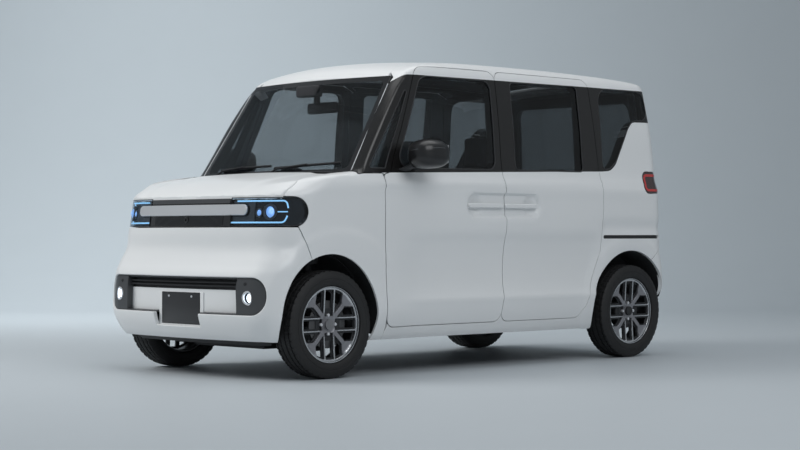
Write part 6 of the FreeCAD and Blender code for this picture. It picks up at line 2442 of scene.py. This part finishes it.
@dataclass
class Cabin:
    """Seats, dashboard details and steering wheel."""

    floor: float = 0.3003
    wheel_centre: tuple[float, float, float] = (0.5042, -0.350, 1.0114)
    wheel_radius: float = 0.183
    grip_radius: float = 0.015
    lean: float = 27.0
    voxel: float = 0.012
    cloth_steps: int = 16
    seam_depth: float = 0.007

    def build(self) -> None:
        """All pieces of the cabin."""
        self._seat("front_seat_left", FRONT_SEAT, 0.07, 0.55)
        self._seat("front_seat_right", FRONT_SEAT, -0.55, -0.07)
        self._seat("rear_seat_left", REAR_SEAT, 0.005, 0.56)
        self._seat("rear_seat_right", REAR_SEAT, -0.56, -0.005)
        self._dash()
        self._wheel()

    def _seat(self, name: str, seat: Seat, low: float, high: float) -> None:
        """One seat of a base, a cushion, a back and a head rest.

        Args:
            name: Stem of its names.
            seat: Its outlines.
            low: One side across the car.
            high: The other side.
        """
        narrow = (high - low) * 0.26
        for part, shares, inset, cap in (
            ("cushion", seat.cushion, 0.0, 0.022), ("back", seat.back, 0.0, 0.022), ("rest", seat.rest, narrow, 0.012),
        ):
            loop = grown(self._placed(seat, shares), -0.014)
            pad = self._prism(f"{name}_{part}", loop, low + inset + 0.014, high - inset - 0.014)
            self._swell(pad, cap)
            dress(pad, "body", "seat_cloth", SEAT_CLOTH, replaces=(seat.node,))
            if part != "rest":
                self._piping(pad, low, high)
        base = self._prism(f"{name}_base", self._placed(seat, seat.base), low + 0.03, high - 0.03)
        bevel(base, 0.012, 3)
        sharpen(base, 40)
        dress(base, "body", "seat_cloth", CABIN_TRIM)

    def _placed(self, seat: Seat, shares: Sequence[tuple[float, float]]) -> Loop:
        """Outline of a seat's part, along the car and up."""
        return np.array([((seat.hip + u) * HALF_LONG, self.floor + v * TALL) for u, v in shares])

    @staticmethod
    def _prism(name: str, loop: Loop, low: float, high: float) -> bpy.types.Object:
        """Block of a side outline across the car.

        Args:
            name: Its name.
            loop: Outline along and up.
            low: One side.
            high: Other side.

        Returns:
            The block.
        """
        count = len(loop)
        points = [(x, side, z) for side in (low, high) for x, z in loop]
        faces = [tuple(range(count)), tuple(range(2 * count - 1, count - 1, -1))]
        faces += [((k + 1) % count, k, k + count, (k + 1) % count + count) for k in range(count)]
        return outward(mesh_piece(name, np.array(points), faces))

    def _swell(self, pad: bpy.types.Object, cap: float) -> None:
        """Blow a block up into a cushion under cloth pressure.

        Args:
            pad: The block.
            cap: Furthest that a point may move.
        """
        bevel(pad, 0.012)
        modify(pad, "REMESH", mode="VOXEL", voxel_size=self.voxel)
        rest = read_vertices(pad, "co")
        use(pad)
        cloth = pad.modifiers.new("cloth", "CLOTH")
        cloth.settings.use_pressure = True
        cloth.settings.uniform_pressure_force = 4.0
        cloth.settings.effector_weights.gravity = 0.0
        cloth.settings.quality = 4
        for step in range(1, self.cloth_steps + 1):
            bpy.context.scene.frame_set(step)
        bpy.ops.object.modifier_apply(modifier=cloth.name)
        bpy.context.scene.frame_set(1)
        shift = read_vertices(pad, "co") - rest
        size = np.linalg.norm(shift, axis=1, keepdims=True)
        write_vertices(pad, rest + shift * np.minimum(1.0, cap / np.maximum(size, 1e-9)))
        modify(pad, "SUBSURF", levels=1, render_levels=1)
        sharpen(pad, 70)

    def _piping(self, pad: bpy.types.Object, low: float, high: float) -> None:
        """Two sewn channels along a pad, pressed into it.

        Args:
            pad: The cushion.
            low: One side across the car.
            high: The other side.
        """
        spots, normals = read_vertices(pad, "co"), read_vertices(pad, "normal")
        for share in (0.22, 0.78):
            seam = low + (high - low) * share
            near = np.exp(-(((spots[:, 1] - seam) / self.seam_depth) ** 2))
            spots -= normals * (near * self.seam_depth)[:, None]
        write_vertices(pad, spots)

    @staticmethod
    def _dash() -> None:
        """Display, cluster, vents and centre stack on the dashboard."""
        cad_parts["dashboard"].data.materials.clear()
        coat(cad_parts["dashboard"], DASH)
        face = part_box("dashboard")[0].x
        parts = []
        for name, low, high, width, segments, finish in (
            ("dash_display", (0.070, -0.115, 1.000), (0.088, 0.115, 1.120), 0.008, 3, GLOSS_BLACK),
            ("dash_hood", (0.070, -0.500, 1.020), (0.200, -0.200, 1.075), 0.022, 4, CABIN_TRIM),
            *(
                ("dash_vent", (0.001, y - 0.045, 0.925), (0.014, y + 0.045, 0.985), 0.006, 3, TRIM_GREY)
                for y in (-0.545, -0.17, 0.17, 0.545)
            ),
            ("dash_stack", (-0.010, -0.10, 0.830), (0.03, 0.10, 0.915), 0.010, 3, GLOSS_BLACK),
        ):
            box = box_piece(name, (face + low[0], *low[1:]), (face + high[0], *high[1:]), width, segments)
            parts.append(coat(box, finish))
        dress(join("dash_details", parts), "body", "dash_plastic")

    def _wheel(self) -> None:
        """Steering wheel with three spokes."""
        rim = primitive(
            bpy.ops.mesh.primitive_torus_add, "hand_wheel_rim", major_radius=self.wheel_radius - self.grip_radius,
            minor_radius=self.grip_radius, major_segments=72, minor_segments=16,
        )
        sharpen(rim, 60)
        parts = [rim]
        for angle in (0.0, math.pi, -math.pi / 2):
            way = np.array([math.cos(angle), math.sin(angle), 0.0])
            line = np.array([way * 0.02, way * 0.09 + (0, 0, -0.006), way * (self.wheel_radius - 0.014)])
            parts.append(tube("hand_wheel_spoke", line, 0.012))
        parts.append(box_piece("hand_wheel_hub", (-0.068, -0.055, -0.030), (0.068, 0.060, 0.006), 0.018, 4))
        wheel = join("hand_wheel_dressed", parts)
        lean = math.radians(self.lean)
        face, across = Vector((-math.cos(lean), 0.0, math.sin(lean))), Vector((0.0, -1.0, 0.0))
        turn = Matrix((across, face.cross(across), face)).transposed().to_4x4()
        wheel.data.transform(Matrix.Translation(self.wheel_centre) @ turn)
        dress(wheel, "hand_wheel", "dash_plastic", GRIP, replaces=("steering_wheel",))


def read_vertices(obj: bpy.types.Object, what: str) -> np.ndarray:
    """Places or normals of all vertices."""
    out = np.zeros(len(obj.data.vertices) * 3, np.float32)
    obj.data.vertices.foreach_get(what, out)
    return out.reshape(-1, 3)


def write_vertices(obj: bpy.types.Object, spots: np.ndarray) -> None:
    """Move all vertices."""
    obj.data.vertices.foreach_set("co", spots.astype(np.float32).ravel())
    obj.data.update()


def dress_nodes() -> None:
    """Give every CAD node that shows its own finish."""
    for name, finish in (
        ("cowl_panel", MATT_BLACK), ("firewall", DARK_STEEL), ("floor_pan", PRESSED_STEEL),
        ("wheel_housings", LINER), ("engine_block", CAST_METAL), ("fuel_tank", MATT_BLACK),
        ("front_suspension", DARK_STEEL), ("rear_axle", DARK_STEEL), ("muffler", EXHAUST),
        ("knuckle_left", CAST_METAL), ("knuckle_right", CAST_METAL),
    ):
        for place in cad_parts[name].material_slots:
            place.material = FINISHES.get(finish)


def aim_along(obj: bpy.types.Object, place: Sequence[float], way: Vector) -> None:
    """Put a lamp or camera at a place, looking along a way."""
    obj.location = place
    obj.rotation_euler = way.to_track_quat("-Z", "Y").to_euler()


@dataclass
class Studio:
    """Pale floor that sweeps up into a backdrop, soft lamps and the photo's camera."""

    lens: float = 83.005
    spot: tuple[float, float, float] = (7.7508, 8.0204, 0.7737)
    yaw: float = -134.007
    pitch: float = 0.265
    sweep_start: float = 7.0
    sweep_radius: float = 5.0
    near: float = -24.0
    half_wide: float = 30.0
    top: float = 14.0
    sky: float = 0.48

    def build(self) -> None:
        """Floor, lamps, camera and sky."""
        self._sweep()
        self._camera()
        for name, place, aim, size, power, colour in (
            ("key", (5.6, -3.9, 5.6), (0.6, 0.0, 0.6), (4.2, 4.2), 370.0, (1.0, 0.995, 0.98)),
            ("fill", (2.0, 8.0, 6.5), (0.2, 0.6, 0.7), (7.5, 5.0), 270.0, (0.97, 0.985, 1.0)),
            ("top", (-0.5, 0.5, 6.0), (-0.5, 0.3, 0.0), (6.0, 4.0), 90.0, (1.0, 1.0, 1.0)),
            ("sweep", (-1.0, -6.0, 5.0), (-5.0, -8.5, 1.5), (3.0, 3.0), 300.0, (0.93, 0.98, 1.0)),
        ):
            lamp = bpy.data.lights.new(name, "AREA")
            lamp.shape = "RECTANGLE"
            lamp.size, lamp.size_y = size
            lamp.energy = power
            lamp.color = colour
            obj = linked(name, lamp)
            aim_along(obj, place, Vector(aim) - Vector(place))
            obj.visible_glossy = name != "key"
        self._world()

    def _sweep(self) -> None:
        """Floor that curves up into a backdrop behind the car, square to the camera."""
        yaw = math.radians(self.yaw)
        along, across = np.array([math.cos(yaw), math.sin(yaw)]), np.array([-math.sin(yaw), math.cos(yaw)])
        start, r = self.sweep_start, self.sweep_radius
        line = [(self.near, 0.0), (start, 0.0)]
        line += [(start + r * math.sin(a), r - r * math.cos(a)) for a in np.linspace(0.05, math.pi / 2, 24)]
        line += [(start + r, self.top)]
        points = [
            (*(along * far + across * wide), up) for far, up in line for wide in (-self.half_wide, self.half_wide)
        ]
        faces = [(2 * k, 2 * k + 1, 2 * k + 3, 2 * k + 2) for k in range(len(line) - 1)]
        floor = coat(mesh_piece("studio_floor", np.array(points), faces), FLOOR)
        sharpen(floor, 60)

    def _camera(self) -> None:
        """Camera at the photo's viewpoint."""
        data = bpy.data.cameras.new("camera")
        data.lens = self.lens
        camera = linked("camera", data)
        yaw, pitch = math.radians(self.yaw), math.radians(self.pitch)
        way = Vector((math.cos(yaw) * math.cos(pitch), math.sin(yaw) * math.cos(pitch), math.sin(pitch)))
        aim_along(camera, self.spot, way)
        bpy.context.scene.camera = camera

    def _world(self) -> None:
        """Soft sky whose colour turns from pale to blue grey."""
        scene = bpy.context.scene
        scene.world = bpy.data.worlds.new("studio")
        scene.world.use_nodes = True
        tree = scene.world.node_tree
        place = node(tree, "TexCoord", {}).outputs["Generated"]
        height = node(tree, "SeparateXYZ", {0: place}).outputs["Z"]
        ramp = node(tree, "ValToRGB", {0: calc(tree, "MULTIPLY_ADD", height, 0.5, 0.5)})
        for stop, spot, colour in zip(
            ramp.color_ramp.elements, (0.46, 0.72), ((0.56, 0.60, 0.63, 1), (0.50, 0.55, 0.59, 1)),
        ):
            stop.position = spot
            stop.color = colour
        feed(tree, tree.nodes["Background"], {"Color": ramp.outputs[0], "Strength": self.sky})
        scene.view_settings.view_transform = "Standard"


def main() -> None:
    """Dress the car."""
    logging.basicConfig(level=logging.INFO, format="%(name)s: %(message)s")
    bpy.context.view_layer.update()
    for part in (
        BodySide(), Doors(), Tailgate(), Roof(), Bonnet(), Nose(), RearBumper(), Screen(), Mirrors(), Wheel(), Cabin(),
    ):
        log.info("building %s", type(part).__name__)
        part.build()
    dress_nodes()
    Studio().build()


if __name__ == "__main__":
    main()
